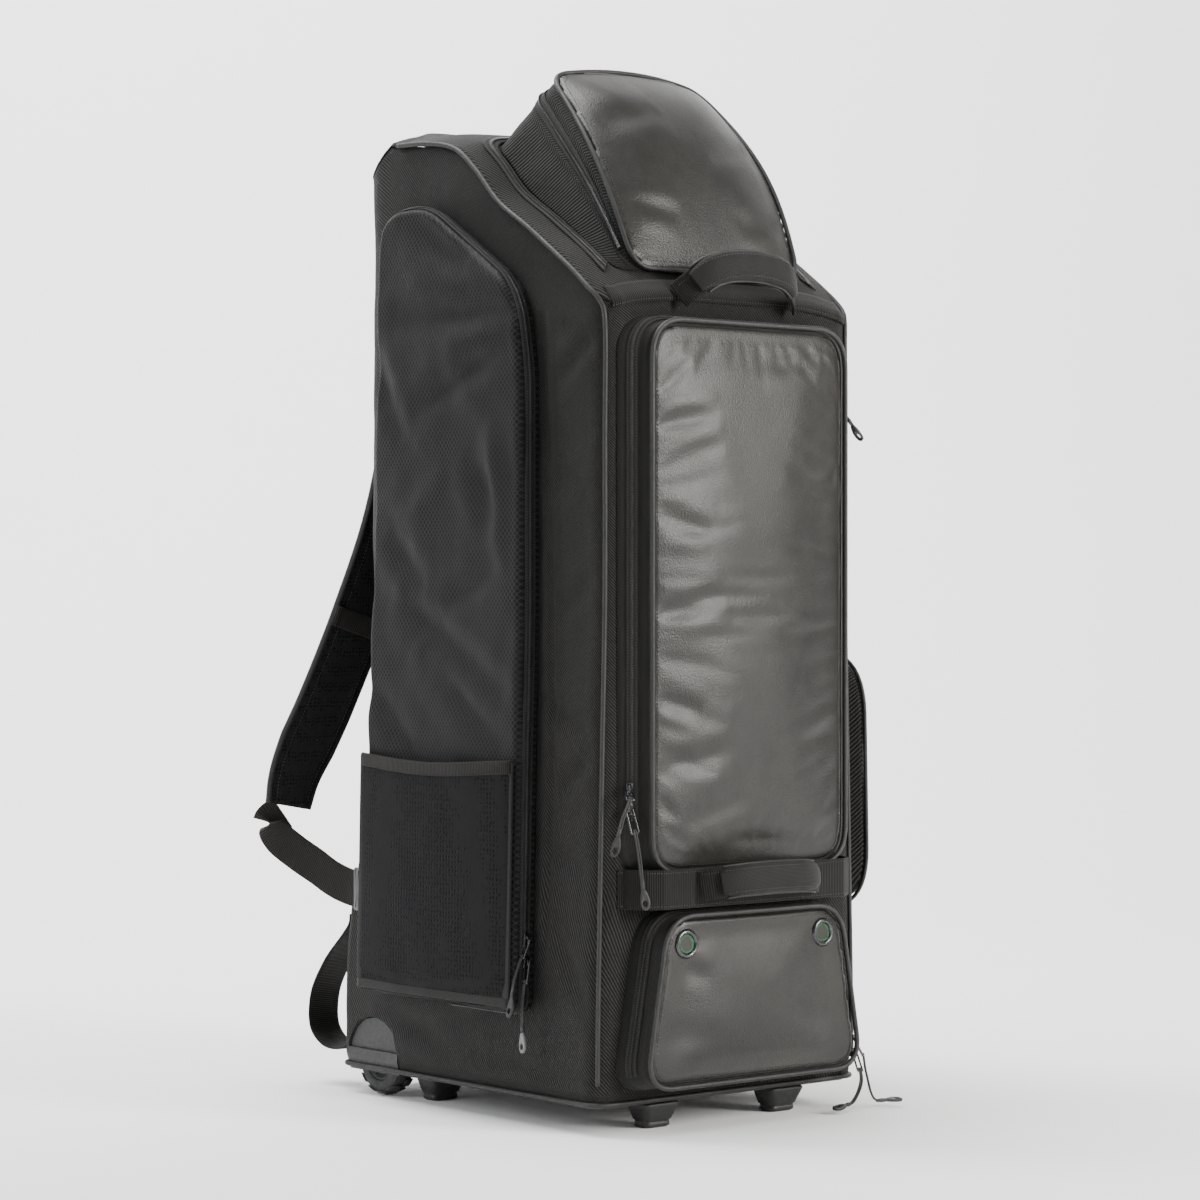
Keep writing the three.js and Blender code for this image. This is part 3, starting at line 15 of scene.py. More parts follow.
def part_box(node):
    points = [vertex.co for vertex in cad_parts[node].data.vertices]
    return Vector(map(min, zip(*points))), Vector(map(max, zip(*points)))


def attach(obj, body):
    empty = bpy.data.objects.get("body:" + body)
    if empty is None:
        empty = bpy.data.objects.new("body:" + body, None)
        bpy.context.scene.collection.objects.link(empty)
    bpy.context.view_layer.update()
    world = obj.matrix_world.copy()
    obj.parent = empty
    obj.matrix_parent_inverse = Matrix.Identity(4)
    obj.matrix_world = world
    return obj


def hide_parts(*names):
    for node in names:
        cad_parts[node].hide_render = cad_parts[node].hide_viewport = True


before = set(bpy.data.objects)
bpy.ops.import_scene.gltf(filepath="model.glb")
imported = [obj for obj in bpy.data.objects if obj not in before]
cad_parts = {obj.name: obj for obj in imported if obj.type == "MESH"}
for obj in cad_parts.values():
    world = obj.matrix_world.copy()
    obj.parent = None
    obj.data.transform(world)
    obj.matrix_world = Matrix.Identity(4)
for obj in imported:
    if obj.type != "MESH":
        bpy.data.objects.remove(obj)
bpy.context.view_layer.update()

MM = 0.001
WHEEL_Y = 161.4
axle_low, axle_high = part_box("axle_left")
FRAME_Y = (axle_low[1] + axle_high[1]) / 2 / MM - WHEEL_Y

# Sizes, in millimetres, as in the part's source

BODY_WIDTH, BODY_DEPTH, BODY_HEIGHT = 310.0, 359.0, 924.0
FLOOR_GAP, FABRIC, SEAT, LID_CROWN, BACK_ROUND, BACK_DROP = 27.0, 3.0, 0.3, 15.0, 60.0, 52.0
HALF_WIDTH, BODY_FRONT = BODY_WIDTH / 2, -BODY_DEPTH / 2
HELMET_WIDTH, HELMET_BACK, HELMET_FRONT, HELMET_RISE, HELMET_CROWN = 240.0, 184.0, 204.0, 28.0, 18.0
HELMET_BOW, HELMET_WIDEN = 18.0, 8.0
FRONT = dict(
    bottom_width=236.0, top_width=236.0, height=498.0, bottom=237.0, corner=35.0, depth=26.0, crown=9.0,
    extra=22.0, slack=-0.003,
)
SHOE = dict(
    bottom_width=262.0, top_width=210.0, height=150.0, bottom=45.0, corner=30.0, depth=33.0, crown=12.0,
    extra=15.0, slack=0.006,
)
SPREAD_UP = 6.0
BAT_DEPTH, SIDE_DEPTH, SIDE_CROWN = 23.0, 18.0, 5.0
BALL = dict(depth=38.0, width=262.0, height=248.0, bottom=185.0, overhang=14.0)
MESH_HEIGHT, MESH_BULGE = 225.0, 11.0
BAND_WIDTH, BAND_THICK, UPPER_BAND, LOWER_BAND = 36.0, 2.0, 742.0, 204.0
PIPING = 2.4
CORNER_ROUND = 0.07 * BODY_WIDTH
LEATHER_SEAM = (3.4, 2.5, 0.8)
BAND_SEAM = (3.2, 2.3, 0.7)
CLOTH_FRAMES = 20
VIEW_TURN = math.radians(40)
EYELET = dict(outer=27.0, inner=17.0, height=172.0, spacing=170.0, rim=2.4)
BACK_WIDTH, BACK_THICK = 236.0, 7.0
STRAP_WIDTH, STRAP_THICK, STRAP_HANG = 66.0, 12.0, 90.0
WEBBING_WIDTH, WEBBING_THICK, LOOP_REACH = 36.0, 2.0, 66.0
WHEEL_RADIUS, WHEEL_WIDTH = 36.0, 22.0


# Tables and curves

def smooth_table(rows):
    """Monotone cubic through rows of (key, values...), evaluated for arrays of keys."""
    rows = np.array(rows, float)
    x, y = rows[:, 0], rows[:, 1:]
    slope = np.diff(y, axis=0) / np.diff(x)[:, None]
    tangent = np.zeros_like(y)
    tangent[0], tangent[-1] = slope[0], slope[-1]
    for i in range(1, len(x) - 1):
        same = slope[i - 1] * slope[i] > 0
        mean = 2 * slope[i - 1] * slope[i] / np.where(same, slope[i - 1] + slope[i], 1)
        tangent[i] = np.where(same, mean, 0)

    def at(value):
        value = np.clip(np.asarray(value, float), x[0], x[-1])
        i = np.clip(np.searchsorted(x, value, side="right") - 1, 0, len(x) - 2)
        h = (x[i + 1] - x[i])[..., None]
        t = (value - x[i])[..., None] / h
        a, b = y[i], y[i + 1]
        return (
            a * (2 * t**3 - 3 * t**2 + 1)
            + b * (3 * t**2 - 2 * t**3)
            + tangent[i] * h * (t**3 - 2 * t**2 + t)
            + tangent[i + 1] * h * (t**3 - t**2)
        )

    return at


body_table = smooth_table([
    [0, 1.04, -0.49, 0.592, 0.05, 0.045],
    [0.012, 1.055, -0.5, 0.6, 0.07, 0.045],
    [0.1, 1.05, -0.5, 0.6, 0.07, 0.045],
    [0.16, 1.0425, -0.5, 0.59, 0.07, 0.05],
    [0.21, 1.036, -0.5, 0.575, 0.07, 0.07],
    [0.27, 1.029, -0.5, 0.563, 0.07, 0.12],
    [0.36, 1.0175, -0.5, 0.56, 0.07, 0.14],
    [0.5, 1, -0.5, 0.56, 0.07, 0.14],
    [1.08, 1, -0.5, 0.56, 0.07, 0.14],
])
edge_table = smooth_table([
    [-0.3, 0.655], [0, 0.776], [0.109, 0.814], [0.292, 0.8625], [0.421, 0.894], [0.521, 0.931],
    [0.607, 0.9545],
    [0.719, 0.964], [0.858, 0.967], [0.95, 0.974], [1.04, 0.97], [1.3, 0.93],
])


def height_at(up):
    return FLOOR_GAP + up * BODY_HEIGHT


def depth_at(along):
    return BODY_FRONT + along * BODY_DEPTH


def body_at(z):
    return body_table((np.asarray(z, float) - FLOOR_GAP) / BODY_HEIGHT)


def side_x(z):
    return body_at(z)[..., 0] * HALF_WIDTH


def front_y(z):
    return body_at(z)[..., 1] * BODY_DEPTH


def back_y(z):
    return body_at(z)[..., 2] * BODY_DEPTH


def rim_z(x, y):
    edge = height_at(edge_table((np.asarray(y, float) - BODY_FRONT) / BODY_DEPTH)[..., 0])
    crown = LID_CROWN * (1 - np.minimum(1, np.abs(x) / HALF_WIDTH) ** 4)
    near_side = np.clip((np.abs(x) - HALF_WIDTH + BACK_ROUND) / BACK_ROUND, 0, 1)
    near_back = np.clip((np.asarray(y, float) - back_y(height_at(1)) + BACK_ROUND) / BACK_ROUND, 0, 1)
    return edge + crown - BACK_DROP * near_side * near_back


def lid_z(x, y):
    return rim_z(x, y) + SEAT + FABRIC


def spaced(points, count, closed=False):
    """Points at even steps along a polyline."""
    points = np.asarray(points, float)
    if closed:
        points = np.vstack([points, points[:1]])
    step = np.linalg.norm(np.diff(points, axis=0), axis=1)
    run = np.concatenate([[0], np.cumsum(step)])
    at = np.linspace(0, run[-1], count + 1)[:-1] if closed else np.linspace(0, run[-1], count)
    return np.stack([np.interp(at, run, points[:, k]) for k in range(points.shape[1])], axis=1)


def flowing(points, count):
    """Smooth curve through points, at even steps."""
    p = np.asarray(points, float)
    p = np.vstack([2 * p[0] - p[1], p, 2 * p[-1] - p[-2]])
    knots = np.concatenate(
        [[0], np.cumsum(np.maximum(1e-6, np.linalg.norm(np.diff(p, axis=0), axis=1) ** 0.5))]
    )
    made = []
    for i in range(1, len(p) - 2):
        t0, t1, t2, t3 = knots[i - 1 : i + 3]
        t = np.linspace(t1, t2, 24, endpoint=False)[:, None]
        a1 = (t1 - t) / (t1 - t0) * p[i - 1] + (t - t0) / (t1 - t0) * p[i]
        a2 = (t2 - t) / (t2 - t1) * p[i] + (t - t1) / (t2 - t1) * p[i + 1]
        a3 = (t3 - t) / (t3 - t2) * p[i + 1] + (t - t2) / (t3 - t2) * p[i + 2]
        b1 = (t2 - t) / (t2 - t0) * a1 + (t - t0) / (t2 - t0) * a2
        b2 = (t3 - t) / (t3 - t1) * a2 + (t - t1) / (t3 - t1) * a3
        made.append((t2 - t) / (t2 - t1) * b1 + (t - t1) / (t2 - t1) * b2)
    made.append(p[-2][None])
    return spaced(np.vstack(made), count)


def rounded(corners, count):
    """Closed outline of (u, v, round) corners, at even steps from the middle of its first side."""
    corners = [np.array(c, float) for c in corners]
    points = []
    for i, c in enumerate(corners):
        before, after = corners[i - 1][:2] - c[:2], corners[(i + 1) % len(corners)][:2] - c[:2]
        reach = min(c[2], np.linalg.norm(before) / 2.1, np.linalg.norm(after) / 2.1)
        entry = c[:2] + before / np.linalg.norm(before) * reach
        leave = c[:2] + after / np.linalg.norm(after) * reach
        t = np.linspace(0, 1, 12)[:, None]
        points += list((1 - t) ** 2 * entry + 2 * t * (1 - t) * c[:2] + t * t * leave)
    points = np.array(points)
    half = (points[11] + points[12]) / 2
    points = np.vstack([half, np.roll(points, -12, axis=0)])
    return spaced(points, count, closed=True)


def turned_out(points):
    """Unit normals of a closed outline that runs counter-clockwise."""
    run = np.roll(points, -1, axis=0) - np.roll(points, 1, axis=0)
    run /= np.linalg.norm(run, axis=1)[:, None]
    return np.stack([run[:, 1], -run[:, 0]], axis=1)


def grown(points, distance):
    return points + turned_out(points) * distance


def stretched(points, middle, extra_u, extra_v):
    reach = np.abs(points - middle).max(axis=0)
    return middle + (points - middle) * (1 + np.array([extra_u, extra_v]) / reach)


def middle_of(points):
    return (points.min(axis=0) + points.max(axis=0)) / 2


def cloud(points, size, seed=0.0):
    """Smooth noise from -1 to 1 at points, with blobs of the given size."""
    away = Vector((seed * 7.31, seed * 3.17, seed * 5.73))
    return np.array([noise.noise(Vector(p) / size + away) for p in np.asarray(points, float)])


def crease(uv, start, end, width, depth):
    """Groove along a line in a flat map of the surface, which fades at both ends."""
    start, end = np.array(start, float), np.array(end, float)
    run = end - start
    t = ((uv - start) @ run) / (run @ run)
    near = start + np.clip(t, 0, 1)[:, None] * run
    gap = np.linalg.norm(uv - near, axis=1)
    fade = np.clip(1 - np.abs(np.clip(t, -0.5, 1.5) - 0.5) ** 2 * 2.2, 0, 1)
    groove = np.exp(-((gap / width) ** 2)) - 0.55 * np.exp(-(((gap - 1.9 * width) / (1.2 * width)) ** 2))
    return -depth * fade * groove


def creased(uv, rows):
    """Grooves of all (start, end, width, depth) rows together."""
    return sum(crease(uv, *row) for row in rows)


# Meshes

def piece_of(name, points, faces, loop_uv=None, closed=True):
    """Object from millimetre points, its place in its mesh, with faces outwards and UVs in metres."""
    placed = np.asarray(points, float).copy()
    placed[:, 1] += FRAME_Y
    placed *= MM
    mesh = bpy.data.meshes.new(name)
    mesh.from_pydata(placed.tolist(), [], faces)
    if loop_uv is not None:
        layer = mesh.uv_layers.new(name="UVMap")
        layer.data.foreach_set("uv", np.asarray(loop_uv, np.float32).ravel())
    if closed:
        total = 0.0
        for f in faces:
            a = placed[f[0]]
            for k in range(1, len(f) - 1):
                total += a @ np.cross(placed[f[k]], placed[f[k + 1]])
        if total < 0:
            mesh.flip_normals()
    mesh.polygons.foreach_set("use_smooth", [True] * len(mesh.polygons))
    made = bpy.data.objects.new(name, mesh)
    bpy.context.scene.collection.objects.link(made)
    return made


def skin(name, rings, around=True, capped=True, anchor=0, joined=False):
    """Loft through rings of equal count. UVs run along and across the rings in metres."""
    rings = np.asarray(rings, float)
    rows, cols, _ = rings.shape
    wrap = cols + 1 if around else cols
    full = np.concatenate([rings, rings[:, :1]], axis=1) if around else rings
    u = np.concatenate(
        [np.zeros((rows, 1)), np.cumsum(np.linalg.norm(np.diff(full, axis=1), axis=2), axis=1)], axis=1,
    )
    u = (u - u[:, anchor : anchor + 1]) * MM
    tall = np.concatenate([full, full[:1]]) if joined else full
    v = np.concatenate(
        [np.zeros((1, wrap)), np.cumsum(np.linalg.norm(np.diff(tall, axis=0), axis=2), axis=0)]
    ) * MM
    v = v.mean(axis=1)
    faces, uvs = [], []
    spans = rows if joined else rows - 1
    for r in range(spans):
        s = (r + 1) % rows
        for i in range(wrap - 1):
            j = (i + 1) % cols
            faces.append((r * cols + i, r * cols + j, s * cols + j, s * cols + i))
            uvs += [(u[r, i], v[r]), (u[r, i + 1], v[r]), (u[s, i + 1], v[r + 1]), (u[s, i], v[r + 1])]
    points = rings.reshape(-1, 3)
    if capped and around and not joined:
        for r, flip in ((0, True), (rows - 1, False)):
            points = np.vstack([points, rings[r].mean(axis=0)])
            tip = len(points) - 1
            for i in range(cols):
                j = (i + 1) % cols
                a, b = (j, i) if flip else (i, j)
                faces.append((tip, r * cols + a, r * cols + b))
                flat = [points[tip], rings[r, a], rings[r, b]]
                uvs += [((p[0] + p[1]) * MM * 0.7, (p[2] + p[1]) * MM * 0.7) for p in flat]
    return piece_of(name, points, faces, uvs, closed=around)


def slab(name, outer, inner):
    """Closed sheet between two grids that face each other, as a joined loft round its width."""
    outer, inner = np.asarray(outer, float), np.asarray(inner, float)
    rings = np.concatenate([outer, inner[:, ::-1]], axis=1)
    return skin(name, rings, around=True, capped=True)


def framed(path, side):
    """Tangents, sides and outs along a path, from a wanted side direction for each point."""
    path = np.asarray(path, float)
    along = np.gradient(path, axis=0)
    along /= np.linalg.norm(along, axis=1)[:, None]
    side = np.broadcast_to(np.asarray(side, float), path.shape).copy()
    side -= (side * along).sum(axis=1)[:, None] * along
    side /= np.linalg.norm(side, axis=1)[:, None]
    return along, side, np.cross(along, side)


def swept(name, path, side, section, scale=None, capped=True):
    """Section of (across, out) points carried along a path."""
    path = np.asarray(path, float)
    _, across, out = framed(path, side)
    section = np.asarray(section, float)
    size = np.ones((len(path), 2)) if scale is None else np.asarray(scale, float)
    rings = path[:, None] + across[:, None] * (section[None, :, :1] * size[:, None, :1])
    rings = rings + out[:, None] * (section[None, :, 1:] * size[:, None, 1:])
    return skin(name, rings, capped=capped)


def ring_tube(name, path, radius, sides=8, lift=(0, 0, 1)):
    """Round cord closed on itself."""
    path = np.asarray(path, float)
    along = np.roll(path, -1, axis=0) - np.roll(path, 1, axis=0)
    along /= np.linalg.norm(along, axis=1)[:, None]
    up = np.broadcast_to(np.asarray(lift, float), path.shape).copy()
    up -= (up * along).sum(axis=1)[:, None] * along
    up /= np.linalg.norm(up, axis=1)[:, None]
    out = np.cross(along, up)
    angle = np.linspace(0, 2 * math.pi, sides, endpoint=False)
    rings = path[:, None] + radius * (
        np.cos(angle)[None, :, None] * up[:, None] + np.sin(angle)[None, :, None] * out[:, None]
    )
    return skin(name, rings, joined=True)


def circle(radius, sides=10):
    angle = np.linspace(0, 2 * math.pi, sides, endpoint=False)
    return np.stack([np.cos(angle), np.sin(angle)], axis=1) * radius


def flat_section(width, thick, steps=10, fullness=0.12):
    """Flat strap section with soft edges and a slightly fuller middle."""
    half = width / 2
    edge = thick / 2
    xs = np.concatenate(
        [
            [-half, -half + edge * 0.4], np.linspace(-half + edge, half - edge, steps),
            [half - edge * 0.4, half],
        ]
    )
    rise = edge * np.sqrt(np.clip(1 - (np.maximum(0, np.abs(xs) - half + edge) / edge) ** 2, 0.02, 1))
    rise = rise + fullness * edge * (1 - (xs / half) ** 2)
    return np.vstack([np.stack([xs, rise], axis=1), np.stack([xs, -rise], axis=1)[::-1]])


def joined_as(name, parts):
    """Several objects as one, with their materials kept."""
    bpy.ops.object.select_all(action="DESELECT")
    for part in parts:
        part.select_set(True)
    bpy.context.view_layer.objects.active = parts[0]
    if len(parts) > 1:
        bpy.ops.object.join()
    made = bpy.context.view_layer.objects.active
    made.name = name
    made.data.name = name
    return made


def painted(obj, material):
    obj.data.materials.clear()
    obj.data.materials.append(material)
    return obj


def placed(obj, slot, body="root", stands_for=()):
    """Rides on its body, and stands for CAD nodes, which it hides. The slot is not used."""
    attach(obj, body)
    if stands_for:
        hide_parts(*stands_for)
    return obj


def dressed(obj, material, slot, *nodes, body="root"):
    """Paints a piece, and sets it in the place of CAD nodes."""
    return placed(painted(obj, material), slot, body, nodes)


def coords(obj):
    """Vertices in the maker's frame, in millimetres."""
    co = np.empty(len(obj.data.vertices) * 3, np.float32)
    obj.data.vertices.foreach_get("co", co)
    points = co.reshape(-1, 3).astype(float) / MM
    points[:, 1] -= FRAME_Y
    return points


def set_coords(obj, points):
    points = points.copy()
    points[:, 1] += FRAME_Y
    obj.data.vertices.foreach_set("co", (points * MM).astype(np.float32).ravel())
    obj.data.update()


def normals(obj):
    co = np.empty(len(obj.data.vertices) * 3, np.float32)
    obj.data.vertex_normals.foreach_get("vector", co)
    return co.reshape(-1, 3).astype(float)


def pushed(obj, field):
    """Moves vertices along their normals by field(points, normals), in millimetres."""
    points, n = coords(obj), normals(obj)
    set_coords(obj, points + n * field(points, n)[:, None])
    return obj


def with_modifier(obj, kind, **settings):
    """Applies one modifier and keeps the object's name, materials and place."""
    modifier = obj.modifiers.new(kind.lower(), kind)
    for key, value in settings.items():
        setattr(modifier, key, value)
    graph = bpy.context.evaluated_depsgraph_get()
    made = bpy.data.meshes.new_from_object(obj.evaluated_get(graph), depsgraph=graph)
    obj.modifiers.remove(modifier)
    old = obj.data
    obj.data = made
    made.name = obj.name
    bpy.data.meshes.remove(old)
    made.polygons.foreach_set("use_smooth", [True] * len(made.polygons))
    return obj


def stuffed(obj, voxel, held, pressure, reach, shrink):
    """Padded form: even quads, blown up as cloth with the held points fixed, and smoothed once."""
    with_modifier(obj, "REMESH", mode="VOXEL", voxel_size=voxel * MM, use_smooth_shade=True)
    rest = coords(obj)
    group = obj.vertex_groups.new(name="held")
    for i in np.nonzero(held(rest))[0]:
        group.add([int(i)], 1.0, "REPLACE")
    cloth = obj.modifiers.new("cloth", "CLOTH")
    s = cloth.settings
    s.use_pressure = True
    s.uniform_pressure_force = pressure
    s.vertex_group_mass = "held"
    s.effector_weights.gravity = 0
    s.shrink_min = shrink
    s.quality = 5
    s.tension_stiffness = 20
    s.compression_stiffness = 20
    s.bending_stiffness = 3
    scene = bpy.context.scene
    for moment in range(1, CLOTH_FRAMES + 1):
        scene.frame_set(moment)
    graph = bpy.context.evaluated_depsgraph_get()
    moved = bpy.data.meshes.new_from_object(obj.evaluated_get(graph), depsgraph=graph)
    co = np.empty(len(moved.vertices) * 3, np.float32)
    moved.vertices.foreach_get("co", co)
    bpy.data.meshes.remove(moved)
    blown = co.reshape(-1, 3).astype(float) / MM
    blown[:, 1] -= FRAME_Y
    step = blown - rest
    far = np.linalg.norm(step, axis=1)[:, None]
    obj.modifiers.remove(cloth)
    obj.vertex_groups.clear()
    set_coords(obj, rest + step * np.minimum(1, reach / np.maximum(far, 1e-6)))
    scene.frame_set(1)
    return with_modifier(obj, "SUBSURF", levels=1, render_levels=1)


# Node trees for materials

def material_of(name):
    made = bpy.data.materials.new(name)
    made.use_nodes = True
    tree = made.node_tree
    tree.nodes.clear()
    shader = tree.nodes.new("ShaderNodeBsdfPrincipled")
    out = tree.nodes.new("ShaderNodeOutputMaterial")
    tree.links.new(shader.outputs[0], out.inputs[0])
    return made, tree, shader


def node(tree, kind, inputs=None, **settings):
    made = tree.nodes.new(kind)
    for key, value in settings.items():
        setattr(made, key, value)
    for key, value in (inputs or {}).items():
        socket = made.inputs[key]
        if isinstance(value, bpy.types.NodeSocket):
            tree.links.new(value, socket)
        else:
            socket.default_value = value
    return made


def maths(tree, operation, a, b=0.0, c=None):
    inputs = {0: a, 1: b}
    if c is not None:
        inputs[2] = c
    return node(tree, "ShaderNodeMath", inputs, operation=operation).outputs[0]


def ramp(tree, value, low, high, to_low=0.0, to_high=1.0):
    inputs = {"Value": value, "From Min": low, "From Max": high, "To Min": to_low, "To Max": to_high}
    return node(tree, "ShaderNodeMapRange", inputs, interpolation_type="SMOOTHSTEP").outputs["Result"]


def blend(tree, share, a, b):
    made = tree.nodes.new("ShaderNodeMix")
    made.data_type = "RGBA"
    made.clamp_factor = True
    for socket, value in ((made.inputs[0], share), (made.inputs[6], a), (made.inputs[7], b)):
        if isinstance(value, bpy.types.NodeSocket):
            tree.links.new(value, socket)
        else:
            socket.default_value = value if not isinstance(value, tuple) or len(value) == 4 else (*value, 1)
    return made.outputs[2]


def cloud_of(tree, where, scale, detail=3.0, rough=0.55):
    inputs = {"Vector": where, "Scale": scale, "Detail": detail, "Roughness": rough}
    return node(tree, "ShaderNodeTexNoise", inputs).outputs["Fac"]


def place_of(tree):
    return node(tree, "ShaderNodeTexCoord").outputs["Object"]


def map_of(tree):
    """The piece's own UV map, in metres, as separate numbers."""
    uv = node(tree, "ShaderNodeUVMap", uv_map="UVMap").outputs["UV"]
    split = node(tree, "ShaderNodeSeparateXYZ", {0: uv})
    return split.outputs[0], split.outputs[1]


def bumped(tree, shader, height, distance, strength=1.0, under=None):
    inputs = {"Height": height, "Distance": distance, "Strength": strength}
    if under is not None:
        inputs["Normal"] = under
    out = node(tree, "ShaderNodeBump", inputs).outputs[0]
    tree.links.new(out, shader.inputs["Normal"])
    return out


def lines(tree, value, period):
    """Wave from 0 to 1 with a period in metres."""
    turn = maths(tree, "MULTIPLY", value, 2 * math.pi / period)
    return maths(tree, "MULTIPLY_ADD", maths(tree, "SINE", turn), 0.5, 0.5)


def cloth_finish(name, dark, light, rough=0.8, sheen=0.25):
    made, tree, shader = material_of(name)
    shader.inputs["Roughness"].default_value = rough
    shader.inputs["Specular IOR Level"].default_value = 0.09
    shader.inputs["Sheen Weight"].default_value = sheen
    shader.inputs["Sheen Roughness"].default_value = 0.5
    made.diffuse_color = (*light, 1)
    return made, tree, shader


def twill_cloth():
    """Near-black twill: diagonal ribs, dust-like variation and a faint sheen."""
    made, tree, shader = cloth_finish("black_twill", (0.006, 0.006, 0.007), (0.028, 0.027, 0.028), 0.62, 0.02)
    u, v = map_of(tree)
    slope = maths(tree, "ADD", u, maths(tree, "MULTIPLY", v, 0.78))
    rib = lines(tree, slope, 0.0034)
    thread = lines(tree, maths(tree, "SUBTRACT", v, u), 0.0019)
    wide = cloud_of(tree, place_of(tree), 14.0)
    fine = cloud_of(tree, place_of(tree), 420.0, 2.0)
    weave = maths(tree, "MULTIPLY", rib, maths(tree, "MULTIPLY_ADD", thread, 0.45, 0.55))
    tone = maths(tree, "MULTIPLY", weave, maths(tree, "MULTIPLY_ADD", fine, 0.9, 0.35))
    base = blend(tree, tone, (0.0015, 0.0015, 0.0016), (0.056, 0.054, 0.052))
    faded = blend(tree, ramp(tree, wide, 0.35, 0.75, 0.0, 0.2), base, (0.012, 0.0118, 0.0115))
    tree.links.new(faded, shader.inputs["Base Color"])
    bumped(tree, shader, weave, 0.0008, 0.9)
    return made


def plain_cloth():
    """Smooth black cloth of gussets and bindings."""
    made, tree, shader = cloth_finish("black_cloth", (0.006, 0.006, 0.007), (0.02, 0.02, 0.02), 0.6, 0.05)
    u, v = map_of(tree)
    warp = lines(tree, u, 0.0012)
    weft = lines(tree, v, 0.0012)
    weave = maths(tree, "MULTIPLY", warp, weft)
    wide = cloud_of(tree, place_of(tree), 22.0)
    base = blend(tree, weave, (0.008, 0.0078, 0.0075), (0.036, 0.0348, 0.0332))
    tree.links.new(
        blend(tree, ramp(tree, wide, 0.4, 0.8, 0.0, 0.3), base, (0.014, 0.0138, 0.0134)),
        shader.inputs["Base Color"],
    )
    bumped(tree, shader, weave, 0.0003, 0.6)
    return made


def ripstop_cloth():
    """Dark slate coated cloth with a diamond grid of heavier threads."""
    made, tree, shader = cloth_finish("slate_ripstop", (0.02, 0.022, 0.025), (0.05, 0.052, 0.058), 0.5, 0.01)
    u, v = map_of(tree)
    cell = 0.0062
    grids = []
    for sign in ("ADD", "SUBTRACT"):
        grids.append(
            ramp(
                tree, lines(tree, maths(tree, sign, v, maths(tree, "MULTIPLY", u, 1.25)), cell), 0.80, 0.99,
            )
        )
    grid = maths(tree, "MAXIMUM", *grids)
    fine = maths(tree, "MULTIPLY", lines(tree, u, 0.0009), lines(tree, v, 0.0009))
    wide = cloud_of(tree, place_of(tree), 9.0)
    base = blend(tree, grid, (0.0065, 0.0064, 0.0068), (0.024, 0.0237, 0.0248))
    spread = blend(tree, ramp(tree, wide, 0.35, 0.75, 0.0, 0.4), base, (0.0125, 0.0123, 0.013))
    tree.links.new(spread, shader.inputs["Base Color"])
    height = maths(tree, "MULTIPLY_ADD", grid, 0.8, maths(tree, "MULTIPLY", fine, 0.25))
    bumped(tree, shader, height, 0.0004, 0.8)
    return made


def leather_finish():
    """Olive-grey leather look: fine pebbled grain, lighter patches at random and a soft sheen."""
    made, tree, shader = material_of("olive_leather")
    shader.inputs["Specular IOR Level"].default_value = 0.34
    shader.inputs["Coat Weight"].default_value = 0.05
    shader.inputs["Coat Roughness"].default_value = 0.35
    where = place_of(tree)
    grain = node(
        tree, "ShaderNodeTexVoronoi", {"Vector": where, "Scale": 620.0}, feature="F1",
    ).outputs["Distance"]
    pores = cloud_of(tree, where, 1500.0, 2.0)
    wide = cloud_of(tree, where, 7.0, 4.0)
    middle = cloud_of(tree, where, 60.0, 3.0)
    base = blend(tree, ramp(tree, wide, 0.3, 0.7), (0.011, 0.0102, 0.0088), (0.019, 0.0176, 0.015))
    mottled = blend(tree, ramp(tree, middle, 0.4, 0.75, 0.0, 0.35), base, (0.025, 0.0232, 0.02))
    dark = blend(tree, ramp(tree, grain, 0.25, 0.75, 0.0, 0.45), mottled, (0.006, 0.0056, 0.005))
    tree.links.new(dark, shader.inputs["Base Color"])
    rough = maths(tree, "MULTIPLY_ADD", middle, 0.12, 0.33)
    tree.links.new(rough, shader.inputs["Roughness"])
    height = maths(tree, "SUBTRACT", maths(tree, "MULTIPLY", pores, 0.4), maths(tree, "MULTIPLY", grain, 0.8))
    bumped(tree, shader, height, 0.0004, 0.55)
    return made


def webbing_finish():
    """Woven webbing: close ribs across the strap and fine chevron threads."""
    made, tree, shader = cloth_finish(
        "brown_black_webbing", (0.01, 0.009, 0.008), (0.05, 0.045, 0.04), 0.6, 0.05,
    )
    u, v = map_of(tree)
    ribs = lines(tree, v, 0.0021)
    threads = lines(tree, maths(tree, "ADD", u, maths(tree, "MULTIPLY", v, 0.5)), 0.0012)
    weave = maths(tree, "MULTIPLY", ribs, maths(tree, "MULTIPLY_ADD", threads, 0.4, 0.6))
    wide = cloud_of(tree, place_of(tree), 30.0)
    base = blend(tree, weave, (0.004, 0.0037, 0.0034), (0.022, 0.0202, 0.0182))
    tree.links.new(
        blend(tree, ramp(tree, wide, 0.4, 0.8, 0.0, 0.3), base, (0.014, 0.013, 0.0118)),
        shader.inputs["Base Color"],
    )
    bumped(tree, shader, weave, 0.0005, 0.9)
    return made


def spacer_finish(name="air_mesh", cell=260.0, dark=(0.002, 0.002, 0.002), light=(0.013, 0.013, 0.0135)):
    """Air mesh: rows of small round holes between fuzzy threads; the holes are painted darker, partly for the
    darker layer under them and partly as painted shade inside them.
    """
    made, tree, shader = cloth_finish(name, dark, light, 0.75, 0.01)
    where = place_of(tree)
    cells = node(
        tree, "ShaderNodeTexVoronoi", {"Vector": where, "Scale": cell, "Randomness": 0.35}, feature="F1",
    )
    hole = ramp(tree, cells.outputs["Distance"], 0.18, 0.42)
    fine = cloud_of(tree, where, 900.0, 2.0)
    thread = maths(tree, "MULTIPLY", hole, maths(tree, "MULTIPLY_ADD", fine, 0.8, 0.5))
    # Colour falls to the dark tone in the holes: painted shade in them, over the darker layer seen through
    # them.
    tree.links.new(blend(tree, thread, dark, light), shader.inputs["Base Color"])
    bumped(tree, shader, hole, 0.0008, 0.8)
    return made


